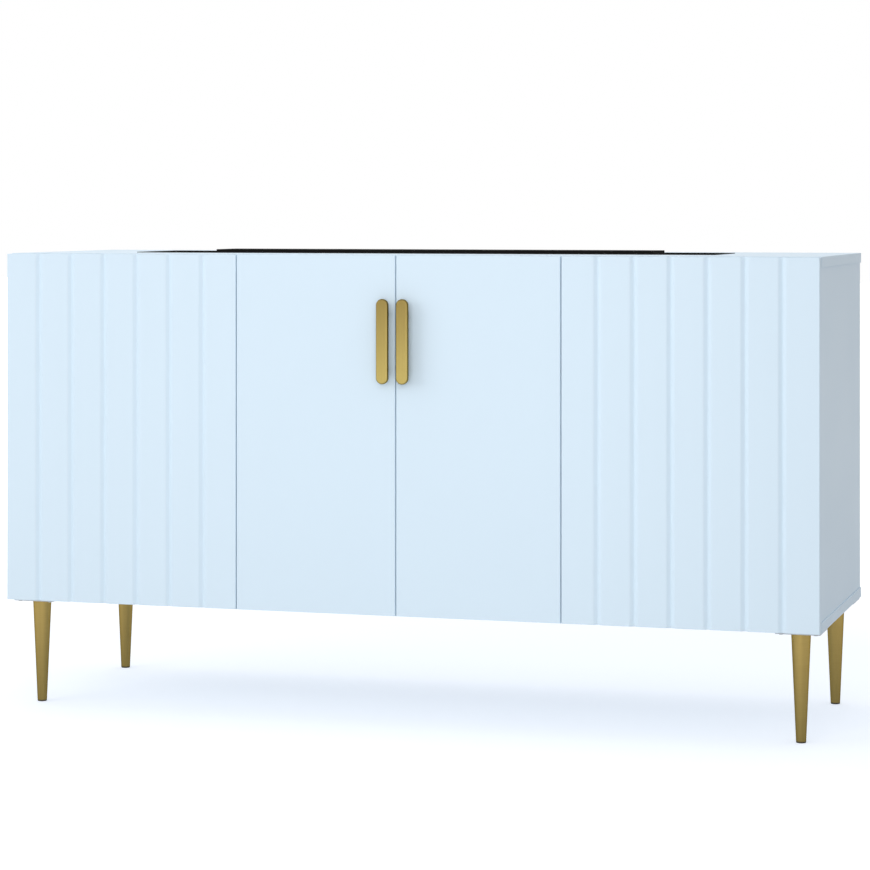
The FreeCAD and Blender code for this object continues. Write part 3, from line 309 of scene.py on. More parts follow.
def solids(node):
    """Corners of each separate solid of a CAD piece, as lists of points, in the order of its mesh."""
    shape = welded(node)
    reached = set()
    found = []
    for start in shape.verts:
        if start in reached:
            continue
        reached.add(start)
        front = [start]
        points = []
        while front:
            vert = front.pop()
            points.append(vert.co.copy())
            for edge in vert.link_edges:
                other = edge.other_vert(vert)
                if other not in reached:
                    reached.add(other)
                    front.append(other)
        found.append(points)
    shape.free()
    return found


def span(points):
    """Lowest and highest corner of some points."""
    low = Vector([min(point[axis] for point in points) for axis in range(3)])
    high = Vector([max(point[axis] for point in points) for axis in range(3)])
    return low, high


def arc(across, height, radius, start, end, count):
    """Points of (distance from the axis, height) on an arc, from one angle in degrees to another."""
    angles = [math.radians(start + (end - start) * index / count) for index in range(count + 1)]
    return [(across + radius * math.cos(angle), height + radius * math.sin(angle)) for angle in angles]


def turned(profile, steps, thread_pitch=0.0):
    """Solid of revolution about Z. A third value in a profile point is the depth of a thread there."""
    shape = bmesh.new()
    rings = []
    for radius, height, *depth in profile:
        if radius == 0:
            rings.append([shape.verts.new((0, 0, height))])
            continue
        ring = []
        for step in range(steps):
            cut_in = 0.0
            if depth:
                phase = (height / thread_pitch - step / steps) % 1
                cut_in = depth[0] * abs(2 * phase - 1)
            angle = TURN * step / steps
            ring.append(shape.verts.new(((radius - cut_in) * math.cos(angle),
                                         (radius - cut_in) * math.sin(angle), height)))
        rings.append(ring)
    for lower, upper in zip(rings, rings[1:]):
        for step in range(steps):
            after = (step + 1) % steps
            corners = [lower[step % len(lower)], lower[after % len(lower)],
                       upper[after % len(upper)], upper[step % len(upper)]]
            shape.faces.new(list(dict.fromkeys(corners)))
    bmesh.ops.recalc_face_normals(shape, faces=shape.faces)
    return shape


def add_copy(shape, mesh, matrix):
    """Add a placed copy of a mesh to a shape."""
    copy = mesh.copy()
    copy.transform(matrix)
    shape.from_mesh(copy)
    bpy.data.meshes.remove(copy)


def as_mesh(shape, name):
    """Plain mesh of a shape, for copies."""
    mesh = bpy.data.meshes.new(name)
    shape.to_mesh(mesh)
    shape.free()
    return mesh


# Shader helpers

def fill(tree, socket, value):
    """Set a socket, or link it if the value is another socket."""
    if isinstance(value, bpy.types.NodeSocket):
        tree.links.new(value, socket)
    else:
        socket.default_value = value


def add(tree, kind, sockets=None, **settings):
    """Add a node with its settings and sockets."""
    item = tree.nodes.new(kind)
    for name, value in settings.items():
        setattr(item, name, value)
    for name, value in (sockets or {}).items():
        fill(tree, item.inputs[name], value)
    return item


def blend(tree, factor, first, second):
    """Mix of two colours."""
    item = add(tree, "ShaderNodeMix", data_type="RGBA")
    for index, value in ((0, factor), (6, first), (7, second)):
        fill(tree, item.inputs[index], value)
    return item.outputs[2]


def compute(tree, operation, first, second):
    """Result of a math node on two values."""
    item = add(tree, "ShaderNodeMath", operation=operation)
    fill(tree, item.inputs[0], first)
    fill(tree, item.inputs[1], second)
    return item.outputs[0]


def times(tree, first, second):
    """Product of two values."""
    return compute(tree, "MULTIPLY", first, second)


def compute_vector(tree, operation, first, second=None):
    """Outputs of a vector math node on one or two vectors."""
    item = add(tree, "ShaderNodeVectorMath", operation=operation)
    fill(tree, item.inputs[0], first)
    if second is not None:
        fill(tree, item.inputs[1], second)
    return item.outputs


def rescale(tree, value, low, high, to_low=0.0, to_high=1.0):
    """Map a value from one range to another."""
    item = add(tree, "ShaderNodeMapRange", {
        "Value": value, "From Min": low, "From Max": high, "To Min": to_low, "To Max": to_high})
    return item.outputs["Result"]


def noise_value(tree, vector, scale, detail=3.0):
    """Level of a noise texture, around a half."""
    item = add(tree, "ShaderNodeTexNoise", {"Vector": vector, "Scale": scale, "Detail": detail})
    return item.outputs["Fac"]


def object_place(tree):
    """Place on the piece itself, which goes with it when it moves."""
    return add(tree, "ShaderNodeTexCoord").outputs["Object"]


def shared_group(name, inputs, output, build):
    """Node group with named inputs and one output, built once."""
    if name in bpy.data.node_groups:
        return bpy.data.node_groups[name]
    tree = bpy.data.node_groups.new(name, "ShaderNodeTree")
    for label, kind, default in inputs:
        tree.interface.new_socket(name=label, in_out="INPUT", socket_type=kind).default_value = default
    tree.interface.new_socket(name=output, in_out="OUTPUT", socket_type="NodeSocketFloat")
    given = add(tree, "NodeGroupInput").outputs
    fill(tree, add(tree, "NodeGroupOutput").inputs[output], build(tree, given))
    return tree


def place_group(tree, group, sockets):
    """Use of a shared group with its own values."""
    item = add(tree, "ShaderNodeGroup", node_tree=group)
    for name, value in sockets.items():
        fill(tree, item.inputs[name], value)
    return item.outputs[0]


def mottle(tree, scale, contrast):
    """Soft uneven patches, from 0 to 1."""
    def build(inner, given):
        patches = noise_value(inner, object_place(inner), given["Scale"], detail=4.0)
        reach = times(inner, given["Contrast"], 0.5)
        low = compute(inner, "SUBTRACT", 0.5, reach)
        high = compute(inner, "ADD", 0.5, reach)
        return rescale(inner, patches, low, high)
    group = shared_group("soft_patches", [("Scale", "NodeSocketFloat", 5.0),
                                          ("Contrast", "NodeSocketFloat", 0.5)], "Mask", build)
    return place_group(tree, group, {"Scale": scale, "Contrast": contrast})


def orange_peel(tree, scale):
    """Height of the fine waves that a sprayed coat dries to."""
    def build(inner, given):
        where = object_place(inner)
        waves = noise_value(inner, where, given["Scale"], detail=2.0)
        ripples = noise_value(inner, where, times(inner, given["Scale"], 3.7), detail=1.0)
        return compute(inner, "ADD", waves, times(inner, ripples, 0.35))
    group = shared_group("orange_peel", [("Scale", "NodeSocketFloat", 400.0)], "Height", build)
    return place_group(tree, group, {"Scale": scale})


def brush_marks(tree, spread):
    """Fine streaks, long where the spread along an axis is small."""
    def build(inner, given):
        stretched = compute_vector(inner, "MULTIPLY", object_place(inner), given["Spread"])["Vector"]
        return rescale(inner, noise_value(inner, stretched, scale=1.0, detail=4.0), 0.3, 0.7)
    group = shared_group("brush_marks", [("Spread", "NodeSocketVector", (900.0, 900.0, 12.0))],
                         "Streaks", build)
    return place_group(tree, group, {"Spread": spread})


def worn_edges(tree, width, break_up):
    """Mask of the edges, broken up along their length."""
    def build(inner, given):
        rounded = add(inner, "ShaderNodeBevel", {"Radius": given["Width"]}, samples=4)
        flat = add(inner, "ShaderNodeNewGeometry").outputs["Normal"]
        facing = compute_vector(inner, "DOT_PRODUCT", rounded.outputs["Normal"], flat)["Value"]
        edge = rescale(inner, facing, 0.995, 0.85)
        patches = rescale(inner, noise_value(inner, object_place(inner), given["Break Up"]), 0.35, 0.65)
        return times(inner, edge, patches)
    group = shared_group("worn_edges", [("Width", "NodeSocketFloat", 0.001),
                                        ("Break Up", "NodeSocketFloat", 60.0)], "Mask", build)
    return place_group(tree, group, {"Width": width, "Break Up": break_up})


def dust(tree, scale):
    """Mask of what settles on faces that look up."""
    def build(inner, given):
        normal = add(inner, "ShaderNodeNewGeometry").outputs["Normal"]
        upward = add(inner, "ShaderNodeSeparateXYZ", {"Vector": normal}).outputs["Z"]
        lying = rescale(inner, upward, 0.6, 1.0)
        specks = noise_value(inner, object_place(inner), given["Scale"], detail=6.0)
        return times(inner, lying, rescale(inner, specks, 0.4, 0.75))
    group = shared_group("settled_dust", [("Scale", "NodeSocketFloat", 80.0)], "Mask", build)
    return place_group(tree, group, {"Scale": scale})


def finish(name, metallic=0.0, **constants):
    """New material; returns it, its tree and its shader."""
    material = bpy.data.materials.new("finish_" + name)
    material.use_nodes = True
    tree = material.node_tree
    shader = tree.nodes["Principled BSDF"]
    shader.inputs["Metallic"].default_value = metallic
    for socket, value in constants.items():
        shader.inputs[socket.replace("_", " ").title().replace("Ior", "IOR")].default_value = value
    return material, tree, shader


def surface(tree, shader, base, roughness, height, depth):
    """Link the parts of a finish that change over the surface."""
    bump = add(tree, "ShaderNodeBump", {"Height": height, "Distance": depth, "Strength": 1.0})
    fill(tree, shader.inputs["Base Color"], base)
    fill(tree, shader.inputs["Roughness"], roughness)
    fill(tree, shader.inputs["Normal"], bump.outputs["Normal"])


def shade(tone, factor):
    """Colour of a setting made darker or lighter, with its alpha."""
    return (*(min(1.0, part * factor) for part in tone), 1.0)


def known(name):
    """Material that was already made."""
    return bpy.data.materials.get("finish_" + name)


# Finishes

def lacquer_finish():
    """Smooth satin lacquer on fibreboard."""
    if known("lacquer"):
        return known("lacquer")
    tone = bpy.context.scene.stand_colours.lacquer
    material, tree, shader = finish("lacquer", specular_ior_level=0.09, coat_weight=0.015, coat_roughness=0.3)
    base = blend(tree, mottle(tree, scale=2.2, contrast=0.6), shade(tone, 0.985), shade(tone, 1.0))
    # Painted highlight: the edges of the lacquer are made slightly lighter.
    rubbed = times(tree, worn_edges(tree, width=0.9 * MM, break_up=45.0), 0.35)
    base = blend(tree, rubbed, base, shade(tone, 1.04))
    roughness = rescale(tree, mottle(tree, scale=9.0, contrast=0.8), 0.0, 1.0, 0.4, 0.48)
    surface(tree, shader, base, roughness, orange_peel(tree, scale=420.0), depth=0.03 * MM)
    return material


def back_sheet_finish():
    """Thin fibreboard with a printed foil that shows the pressed fibres."""
    tone = bpy.context.scene.stand_colours.back_sheet
    material, tree, shader = finish("back_sheet")
    fibres = brush_marks(tree, (160.0, 160.0, 420.0))
    base = blend(tree, mottle(tree, scale=5.0, contrast=0.7), shade(tone, 0.94), shade(tone, 1.0))
    base = blend(tree, times(tree, fibres, 0.3), base, shade(tone, 0.86))
    roughness = rescale(tree, fibres, 0.0, 1.0, 0.62, 0.74)
    surface(tree, shader, base, roughness, fibres, depth=0.05 * MM)
    return material


def brass_finish(name, spread, dark_and_shaded, bright, low, high, rim=0.0):
    """Brushed brass, dull at the low height and bright at the high one, darker on the rims of a flat bar."""
    if known(name):
        return known(name)
    material, tree, shader = finish(name, metallic=1.0, specular_tint=BRASS_RIM)
    streaks = brush_marks(tree, spread)
    height = add(tree, "ShaderNodeSeparateXYZ", {"Vector": object_place(tree)}).outputs["Z"]
    # Painted shade and highlight: the colour goes from the shaded brass at the low height to the lit brass at
    # the high one.
    base = blend(tree, rescale(tree, height, low, high), shade(dark_and_shaded, 1.0), shade(bright, 1.0))
    base = blend(tree, times(tree, mottle(tree, scale=28.0, contrast=0.8), 0.2), base, shade(dark_and_shaded, 0.85))
    base = blend(tree, times(tree, streaks, 0.14), base, shade(dark_and_shaded, 0.72))
    # Painted shade on the faces turned away from the front: the rims and sides of a flat bar are darkened.
    if rim:
        normal = add(tree, "ShaderNodeTexCoord").outputs["Normal"]
        facing = add(tree, "ShaderNodeSeparateXYZ", {"Vector": normal}).outputs["Y"]
        painted_rim_shade = rescale(tree, facing, -0.98, -0.4)
        base = blend(tree, times(tree, painted_rim_shade, rim), base, shade(dark_and_shaded, 0.5))
    rubbed = times(tree, worn_edges(tree, width=0.8 * MM, break_up=90.0), 0.2)
    base = blend(tree, rubbed, base, shade(bright, 1.1))
    roughness = rescale(tree, streaks, 0.0, 1.0, 0.32, 0.44)
    surface(tree, shader, base, roughness, streaks, depth=0.01 * MM)
    return material


def coated_finish(name, tone, grain, rough, gloss, dusty, worn):
    """Powder coat with its fine grain, edges worn to another shade and a little dust."""
    if known(name):
        return known(name)
    material, tree, shader = finish(name, specular_ior_level=gloss)
    base = blend(tree, mottle(tree, scale=14.0, contrast=0.7), shade(tone, 0.85), shade(tone, 1.2))
    rubbed = times(tree, worn_edges(tree, width=0.5 * MM, break_up=120.0), 0.3)
    base = blend(tree, rubbed, base, shade(tone, worn))
    base = blend(tree, times(tree, dust(tree, scale=140.0), dusty), base, DUST_GREY)
    roughness = rescale(tree, mottle(tree, scale=30.0, contrast=0.8), 0.0, 1.0, rough - 0.06, rough + 0.08)
    surface(tree, shader, base, roughness, orange_peel(tree, grain), depth=0.06 * MM)
    return material


def galvanised_finish():
    """Zinc skin with its crystal flowers."""
    tone = bpy.context.scene.stand_colours.galvanised
    material, tree, shader = finish("galvanised", metallic=0.9)
    flowers = add(tree, "ShaderNodeTexVoronoi", {"Vector": object_place(tree), "Scale": 75.0})
    flake = add(tree, "ShaderNodeSeparateColor", {"Color": flowers.outputs["Color"]}).outputs["Red"]
    base = blend(tree, flake, shade(tone, 0.78), shade(tone, 1.15))
    base = blend(tree, times(tree, mottle(tree, scale=8.0, contrast=0.8), 0.3), base, shade(tone, 0.7))
    roughness = rescale(tree, flake, 0.0, 1.0, 0.34, 0.5)
    surface(tree, shader, base, roughness, flowers.outputs["Distance"], depth=0.02 * MM)
    return material


def sheet_metal_finish(name, tone, spread, rough):
    """Bright metal with brush marks and a little handling."""
    if known(name):
        return known(name)
    material, tree, shader = finish(name, metallic=1.0)
    streaks = brush_marks(tree, spread)
    base = blend(tree, streaks, shade(tone, 0.9), shade(tone, 1.08))
    base = blend(tree, times(tree, mottle(tree, scale=40.0, contrast=0.8), 0.3), base, shade(tone, 0.75))
    roughness = rescale(tree, streaks, 0.0, 1.0, rough - 0.06, rough + 0.08)
    surface(tree, shader, base, roughness, streaks, depth=0.01 * MM)
    return material


def wool_finish():
    """Matted ceramic fibres."""
    tone = bpy.context.scene.stand_colours.wool
    material, tree, shader = finish("ceramic_wool", sheen_weight=0.3)
    fibres = brush_marks(tree, (260.0, 700.0, 700.0))
    base = blend(tree, mottle(tree, scale=30.0, contrast=0.7), shade(tone, 0.78), shade(tone, 1.08))
    base = blend(tree, times(tree, fibres, 0.4), base, shade(tone, 0.66))
    roughness = rescale(tree, fibres, 0.0, 1.0, 0.88, 1.0)
    surface(tree, shader, base, roughness, fibres, depth=0.8 * MM)
    return material


def beech_finish():
    """Straight-grained beech with its short flecks."""
    tone = bpy.context.scene.stand_colours.beech
    material, tree, shader = finish("beech")
    flecks = brush_marks(tree, (700.0, 700.0, 60.0))
    base = blend(tree, flecks, shade(tone, 0.8), shade(tone, 1.12))
    base = blend(tree, times(tree, mottle(tree, scale=60.0, contrast=0.7), 0.3), base, shade(tone, 0.85))
    roughness = rescale(tree, flecks, 0.0, 1.0, 0.55, 0.7)
    surface(tree, shader, base, roughness, flecks, depth=0.05 * MM)
    return material


def moulded_finish(name, tone, rough, grain, depth):
    """Moulded plastic or rubber with the fine texture of its mould."""
    if known(name):
        return known(name)
    material, tree, shader = finish(name)
    base = blend(tree, mottle(tree, scale=35.0, contrast=0.8), shade(tone, 0.9), shade(tone, 1.06))
    rubbed = times(tree, worn_edges(tree, width=0.5 * MM, break_up=150.0), 0.25)
    base = blend(tree, rubbed, base, shade(tone, 1.5))
    roughness = rescale(tree, mottle(tree, scale=90.0, contrast=0.9), 0.0, 1.0, rough - 0.06, rough + 0.06)
    surface(tree, shader, base, roughness, orange_peel(tree, grain), depth)
    return material


def nickel_finish():
    """Plating of the hinges, strike plates and shelf pins."""
    tone = bpy.context.scene.stand_colours.nickel
    return sheet_metal_finish("nickel", tone, spread=(300.0, 300.0, 300.0), rough=0.26)


def zinc_finish():
    """Plating of the screws and cam fittings."""
    tone = bpy.context.scene.stand_colours.zinc
    return sheet_metal_finish("zinc", tone, spread=(500.0, 500.0, 500.0), rough=0.34)


# Screws

def plus_prism(reach, half_width, top, depth):
    """Tapered cross-shaped punch that goes down from the top."""
    outline = []
    for quarter in range(4):
        turn = Matrix.Rotation(quarter * TURN / 4, 2)
        for corner in ((reach, -half_width), (reach, half_width), (half_width, half_width)):
            outline.append(turn @ Vector(corner))
    shape = bmesh.new()
    upper = [shape.verts.new((point.x, point.y, top)) for point in outline]
    taper = 0.6
    lower = [shape.verts.new((point.x * taper, point.y * taper, top - depth)) for point in outline]
    shape.faces.new(upper)
    shape.faces.new(reversed(lower))
    for index, vert in enumerate(upper):
        after = (index + 1) % len(upper)
        shape.faces.new((vert, lower[index], lower[after], upper[after]))
    bmesh.ops.recalc_face_normals(shape, faces=shape.faces)
    return shape


def screw_mesh(head, head_height, shank, shank_length, sunk, pitch):
    """Wood screw along Z: its head stands on the level of zero and its thread goes down."""
    rim = 0.15 * head_height if sunk else 0.6 * head_height
    thread_depth = 0.18 * shank
    tip = min(2.5 * shank, 0.3 * shank_length)
    neck = 0.2 * MM
    rows = int((shank_length - tip) / (pitch / 2))
    profile = [(0, -shank_length), (shank * 0.35, -shank_length + tip * 0.4)]
    for index in range(rows):
        level = -shank_length + tip + index * (shank_length - tip) / rows
        profile.append((shank, level, thread_depth))
    profile += [(shank, -neck), (shank, 0), (head, 0)]
    profile += arc(head - rim, head_height - rim, rim, 0, 90, 4)
    profile.append((0, head_height))
    shape = turned(profile, 20, pitch)
    piece = bpy.data.objects.new("screw_blank", as_mesh(shape, "screw_blank"))
    cross = plus_prism(reach=0.55 * head, half_width=0.14 * head, top=1.2 * head_height, depth=head_height)
    punch = bpy.data.objects.new("screw_punch", as_mesh(cross, "screw_punch"))
    for item in (piece, punch):
        bpy.context.scene.collection.objects.link(item)
    recess = piece.modifiers.new("recess", "BOOLEAN")
    recess.operation = "DIFFERENCE"
    recess.object = punch
    recess.solver = "EXACT"
    settle(piece)
    mesh = piece.data
    for item in (piece, punch):
        bpy.data.objects.remove(item)
    return mesh


def measure_screw(points):
    """Seat, direction of the head, and sizes of a plain CAD screw."""
    low, high = span(points)
    size = high - low
    axis = max(range(3), key=lambda index: size[index])
    middle = (low + high) / 2

    def from_axis(point):
        across = point - middle
        across[axis] = 0
        return across.length

    on_axis = 0.1 * MM
    head = max(from_axis(point) for point in points)
    wide = [point[axis] for point in points if from_axis(point) > 0.98 * head]
    shank = min(from_axis(point) for point in points if from_axis(point) > on_axis)
    up = Vector((0, 0, 0))
    up[axis] = 1 if min(wide) > middle[axis] else -1
    seat = middle.copy()
    seat[axis] = min(wide) if up[axis] > 0 else max(wide)
    head_height = max(wide) - min(wide)
    return seat, up, head, head_height, shank, size[axis] - head_height


def make_screws(node, sunk=False):
    """Screws with a thread and a cross recess where a CAD piece has plain ones."""
    shape = bmesh.new()
    mesh = None
    for index, points in enumerate(solids(node)):
        seat, up, head, head_height, shank, shank_length = measure_screw(points)
        if mesh is None:
            mesh = screw_mesh(head, head_height, shank, shank_length, sunk,
                              bpy.context.scene.stand_sizes.screw_pitch)
        driven_to = Matrix.Rotation(index * SCREW_TURN, 4, "Z")
        upright = up.to_track_quat("Z", "Y").to_matrix().to_4x4()
        add_copy(shape, mesh, Matrix.Translation(seat) @ upright @ driven_to)
    bpy.data.meshes.remove(mesh)
    return take_place(make_object(node + "_finished", shape, zinc_finish()), node)


# Wool

def fibre_mat(low, high, lump):
    """Mat with rounded sides that fills a box, sunk in lumps everywhere but underneath."""
    around = 56
    rows = 150
    squareness = 2 / 7
    end_square = 60
    end_round = 1 / 6
    lumps_per_metre = 42
    middle = (low + high) / 2
    half = (high - low) / 2

    def rounded(share):
        return math.copysign(abs(share) ** squareness, share)

    shape = bmesh.new()
    rings = []
    for row in range(rows + 1):
        along = -1 + 2 * row / rows
        ease = (1 - abs(along) ** end_square) ** end_round
        ring = []
        for step in range(around):
            angle = TURN * step / around
            across = rounded(math.cos(angle))
            upright = rounded(math.sin(angle))
            spot = Vector((along * half.x, across * half.y * ease, upright * half.z * ease))
            rough = 0.5 + 0.5 * noise.fractal(spot * lumps_per_metre, 0.9, 2.1, 4)
            sink = lump * min(1.0, max(0.0, rough)) if upright > -0.9 else 0.0
            inward = spot if abs(along) > 0.995 else Vector((0, across, max(0.0, upright)))
            ring.append(shape.verts.new(middle + spot - inward.normalized() * sink))
        rings.append(ring)
    for first, second in zip(rings, rings[1:]):
        for step in range(around):
            after = (step + 1) % around
            shape.faces.new((first[step], first[after], second[after], second[step]))
    shape.faces.new(reversed(rings[0]))
    shape.faces.new(rings[-1])
    bmesh.ops.recalc_face_normals(shape, faces=shape.faces)
    return shape


# Operators, one for each group of pieces

class STAND_OT_case(bpy.types.Operator):
    """Lacquer the case boards and soften their edges"""
    bl_idname = "stand.case"
    bl_label = "Case Boards"

    def execute(self, context):
        for name in CASE_BOARDS + SHELVES:
            dress(name, lacquer_finish(), context.scene.stand_sizes.board_edge)
        return {"FINISHED"}


class STAND_OT_doors(bpy.types.Operator):
    """Lacquer the doors and soften their ends and groove lips"""
    bl_idname = "stand.doors"
    bl_label = "Doors"

    def execute(self, context):
        sizes = context.scene.stand_sizes
        for name in DOORS:
            shape = welded("door_" + name)
            soften(shape, sizes.groove_lip, groove_lips)
            soften(shape, sizes.door_edge, end_edges)
            take_place(make_object(f"door_{name}_finished", shape, lacquer_finish()), "door_" + name)
        return {"FINISHED"}


class STAND_OT_back(bpy.types.Operator):
    """Finish the back panel, its screws and the cable rings"""
    bl_idname = "stand.back"
    bl_label = "Back Panel"

    def execute(self, context):
        colours = context.scene.stand_colours
        sizes = context.scene.stand_sizes
        dress("back_panel", back_sheet_finish(), sizes.sheet_edge)
        make_screws("back_screws", sunk=True)
        ring = moulded_finish("pale_plastic", colours.pale_plastic, rough=0.4, grain=900.0, depth=0.02 * MM)
        dress("cable_outlets", ring, sizes.ring_edge, is_crease)
        return {"FINISHED"}


class STAND_OT_legs(bpy.types.Operator):
    """Turn the legs, with their studs and plates, glides and screws"""
    bl_idname = "stand.legs"
    bl_label = "Legs"

    def profile(self, points, sizes):
        """Outline of a leg from the bore in its foot up to the end of its stud."""
        low, high = span(points)
        middle = (low + high) / 2
        levels = sorted({round(point.z, 5) for point in points})

        def radii(level):
            return [math.hypot(point.x - middle.x, point.y - middle.y)
                    for point in points if abs(point.z - level) < SAME_LEVEL]

        foot, bore_end, shoulder, stud_end = levels[0], levels[1], levels[-2], levels[-1]
        bore, foot_radius = min(radii(foot)), max(radii(foot))
        top_radius = max(radii(shoulder))
        stud = max(radii(stud_end))
        rim = sizes.leg_rim
        outline = [(0, bore_end), (bore, bore_end), (bore, foot), (foot_radius - rim, foot)]
        outline += arc(foot_radius - rim, foot + rim, rim, -80, 0, 5)
        outline += arc(top_radius - rim, shoulder - rim, rim, 0, 90, 6)
        half_pitch = sizes.stud_pitch / 2
        thread_depth = 0.15 * stud
        outline.append((0.82 * stud, shoulder))
        for index in range(1, int((stud_end - shoulder) / half_pitch) - 1):
            outline.append((stud, shoulder + index * half_pitch, thread_depth))
        outline += [(0.75 * stud, stud_end), (0, stud_end)]
        return Vector((middle.x, middle.y, 0)), outline

    def execute(self, context):
        sizes = context.scene.stand_sizes
        colours = context.scene.stand_colours
        low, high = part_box(LEGS[0])
        # The legs are painted darker at the foot and lighter at the top: painted shade and highlight.
        brass = brass_finish("brass_turned", (30.0, 30.0, 2400.0), colours.painted_shade_brass, colours.brass,
                             low.z, high.z)
        for name in LEGS:
            centre, outline = self.profile(solids(name)[0], sizes)
            shape = turned(outline, 64, sizes.stud_pitch)
            bmesh.ops.translate(shape, vec=centre, verts=shape.verts)
            take_place(make_object(name + "_finished", shape, brass), name)
        grey = coated_finish("plate_grey", colours.plate_grey, grain=900.0, rough=0.5, gloss=0.4,
                             dusty=0.0, worn=0.7)
        dress("leg_plates", grey, sizes.sheet_edge, is_crease)
        brown = moulded_finish("glide_brown", colours.glide_brown, rough=0.5, grain=1500.0, depth=0.03 * MM)
        dress("leg_glides", brown, sizes.fitting_edge, is_crease)
        make_screws("leg_screws")
        return {"FINISHED"}


class STAND_OT_pulls(bpy.types.Operator):
    """Make the bar pulls with their rounded rims, posts and screws"""
    bl_idname = "stand.pulls"
    bl_label = "Pulls"

    def execute(self, context):
        colours = context.scene.stand_colours
        low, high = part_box(PULLS[0])
        # The pulls are painted darker at the top and lighter at the bottom, with darker rims: painted shade
        # and highlight.
        brass = brass_finish("brass_brushed", (1100.0, 1100.0, 14.0), colours.painted_shade_brass,
                             colours.painted_highlight_brass, high.z, low.z, rim=0.45)
        for name in PULLS:
            dress(name, brass, context.scene.stand_sizes.fitting_edge, is_crease)
            make_screws(name + "_screws")
        return {"FINISHED"}


class STAND_OT_hinges(bpy.types.Operator):
    """Finish the hinge cups, pins, arms, mounting plates and screws"""
    bl_idname = "stand.hinges"
    bl_label = "Hinges"

    def execute(self, context):
        nickel = nickel_finish()
        edge = context.scene.stand_sizes.fitting_edge
        for name in DOORS:
            dress("hinge_cups_" + name, nickel, edge)
            paint("hinge_pins_" + name, nickel)
        for name in ("hinge_arms_outer", "hinge_arms_inner", "hinge_plates"):
            dress(name, nickel, edge)
        make_screws("hinge_screws")
        return {"FINISHED"}


class STAND_OT_catches(bpy.types.Operator):
    """Finish the magnetic catches, strike plates, press latches and bumpers"""
    bl_idname = "stand.catches"
    bl_label = "Catches and Latches"

    def execute(self, context):
        colours = context.scene.stand_colours
        edge = context.scene.stand_sizes.fitting_edge
        dark = moulded_finish("dark_plastic", colours.dark_plastic, rough=0.46, grain=1500.0, depth=0.03 * MM)
        for name in ("magnetic_catches", "latch_housings", "latch_plunger_left", "latch_plunger_right"):
            dress(name, dark, 2 * edge, is_crease)
        for name in ("strike_plate_left", "strike_plate_right"):
            dress(name, nickel_finish(), edge)
        rubber = moulded_finish("rubber", colours.rubber, rough=0.6, grain=1200.0, depth=0.02 * MM)
        dress("door_bumpers", rubber, 2 * edge, is_crease)
        return {"FINISHED"}


class STAND_OT_fixings(bpy.types.Operator):
    """Finish what holds the case together and carries the shelves"""
    bl_idname = "stand.fixings"
    bl_label = "Case Fixings"

    def execute(self, context):
        edge = context.scene.stand_sizes.fitting_edge
        make_screws("case_screws", sunk=True)
        dress("cam_locks", zinc_finish(), edge, is_crease)
        dress("cam_bolts", zinc_finish(), edge, is_crease)
        dress("top_dowels", beech_finish(), 2 * edge, is_crease)
        dress("shelf_pins", nickel_finish(), 2 * edge, is_crease)
        return {"FINISHED"}


class STAND_OT_fire(bpy.types.Operator):
    """Finish the fire insert: casing, cap, regulator, guides, tank and heat shield"""
    bl_idname = "stand.fire"
    bl_label = "Fire Insert"

    def execute(self, context):
        colours = context.scene.stand_colours
        edge = context.scene.stand_sizes.sheet_edge
        black = coated_finish("fire_black", colours.fire_black, grain=1100.0, rough=0.76, gloss=0.06,
                              dusty=0.04, worn=2.2)
        for name in ("fire_casing", "burner_cap", "flame_regulator"):
            dress(name, black, edge)
        stainless = sheet_metal_finish("stainless", colours.stainless, spread=(10.0, 700.0, 700.0), rough=0.3)
        for name in ("fuel_tank", "slider_guides"):
            dress(name, stainless, edge)
        dress("heat_shield", galvanised_finish(), edge)
        make_screws("shield_screws")
        return {"FINISHED"}


class STAND_OT_wool(bpy.types.Operator):
    """Lay the lumpy fibre mat in the fuel tank"""
    bl_idname = "stand.wool"
    bl_label = "Burner Wool"

    def execute(self, context):
        low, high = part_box("burner_wool")
        shape = fibre_mat(low, high, context.scene.stand_sizes.wool_lump)
        mat = take_place(make_object("burner_wool_finished", shape, wool_finish()), "burner_wool")
        return {"FINISHED"}


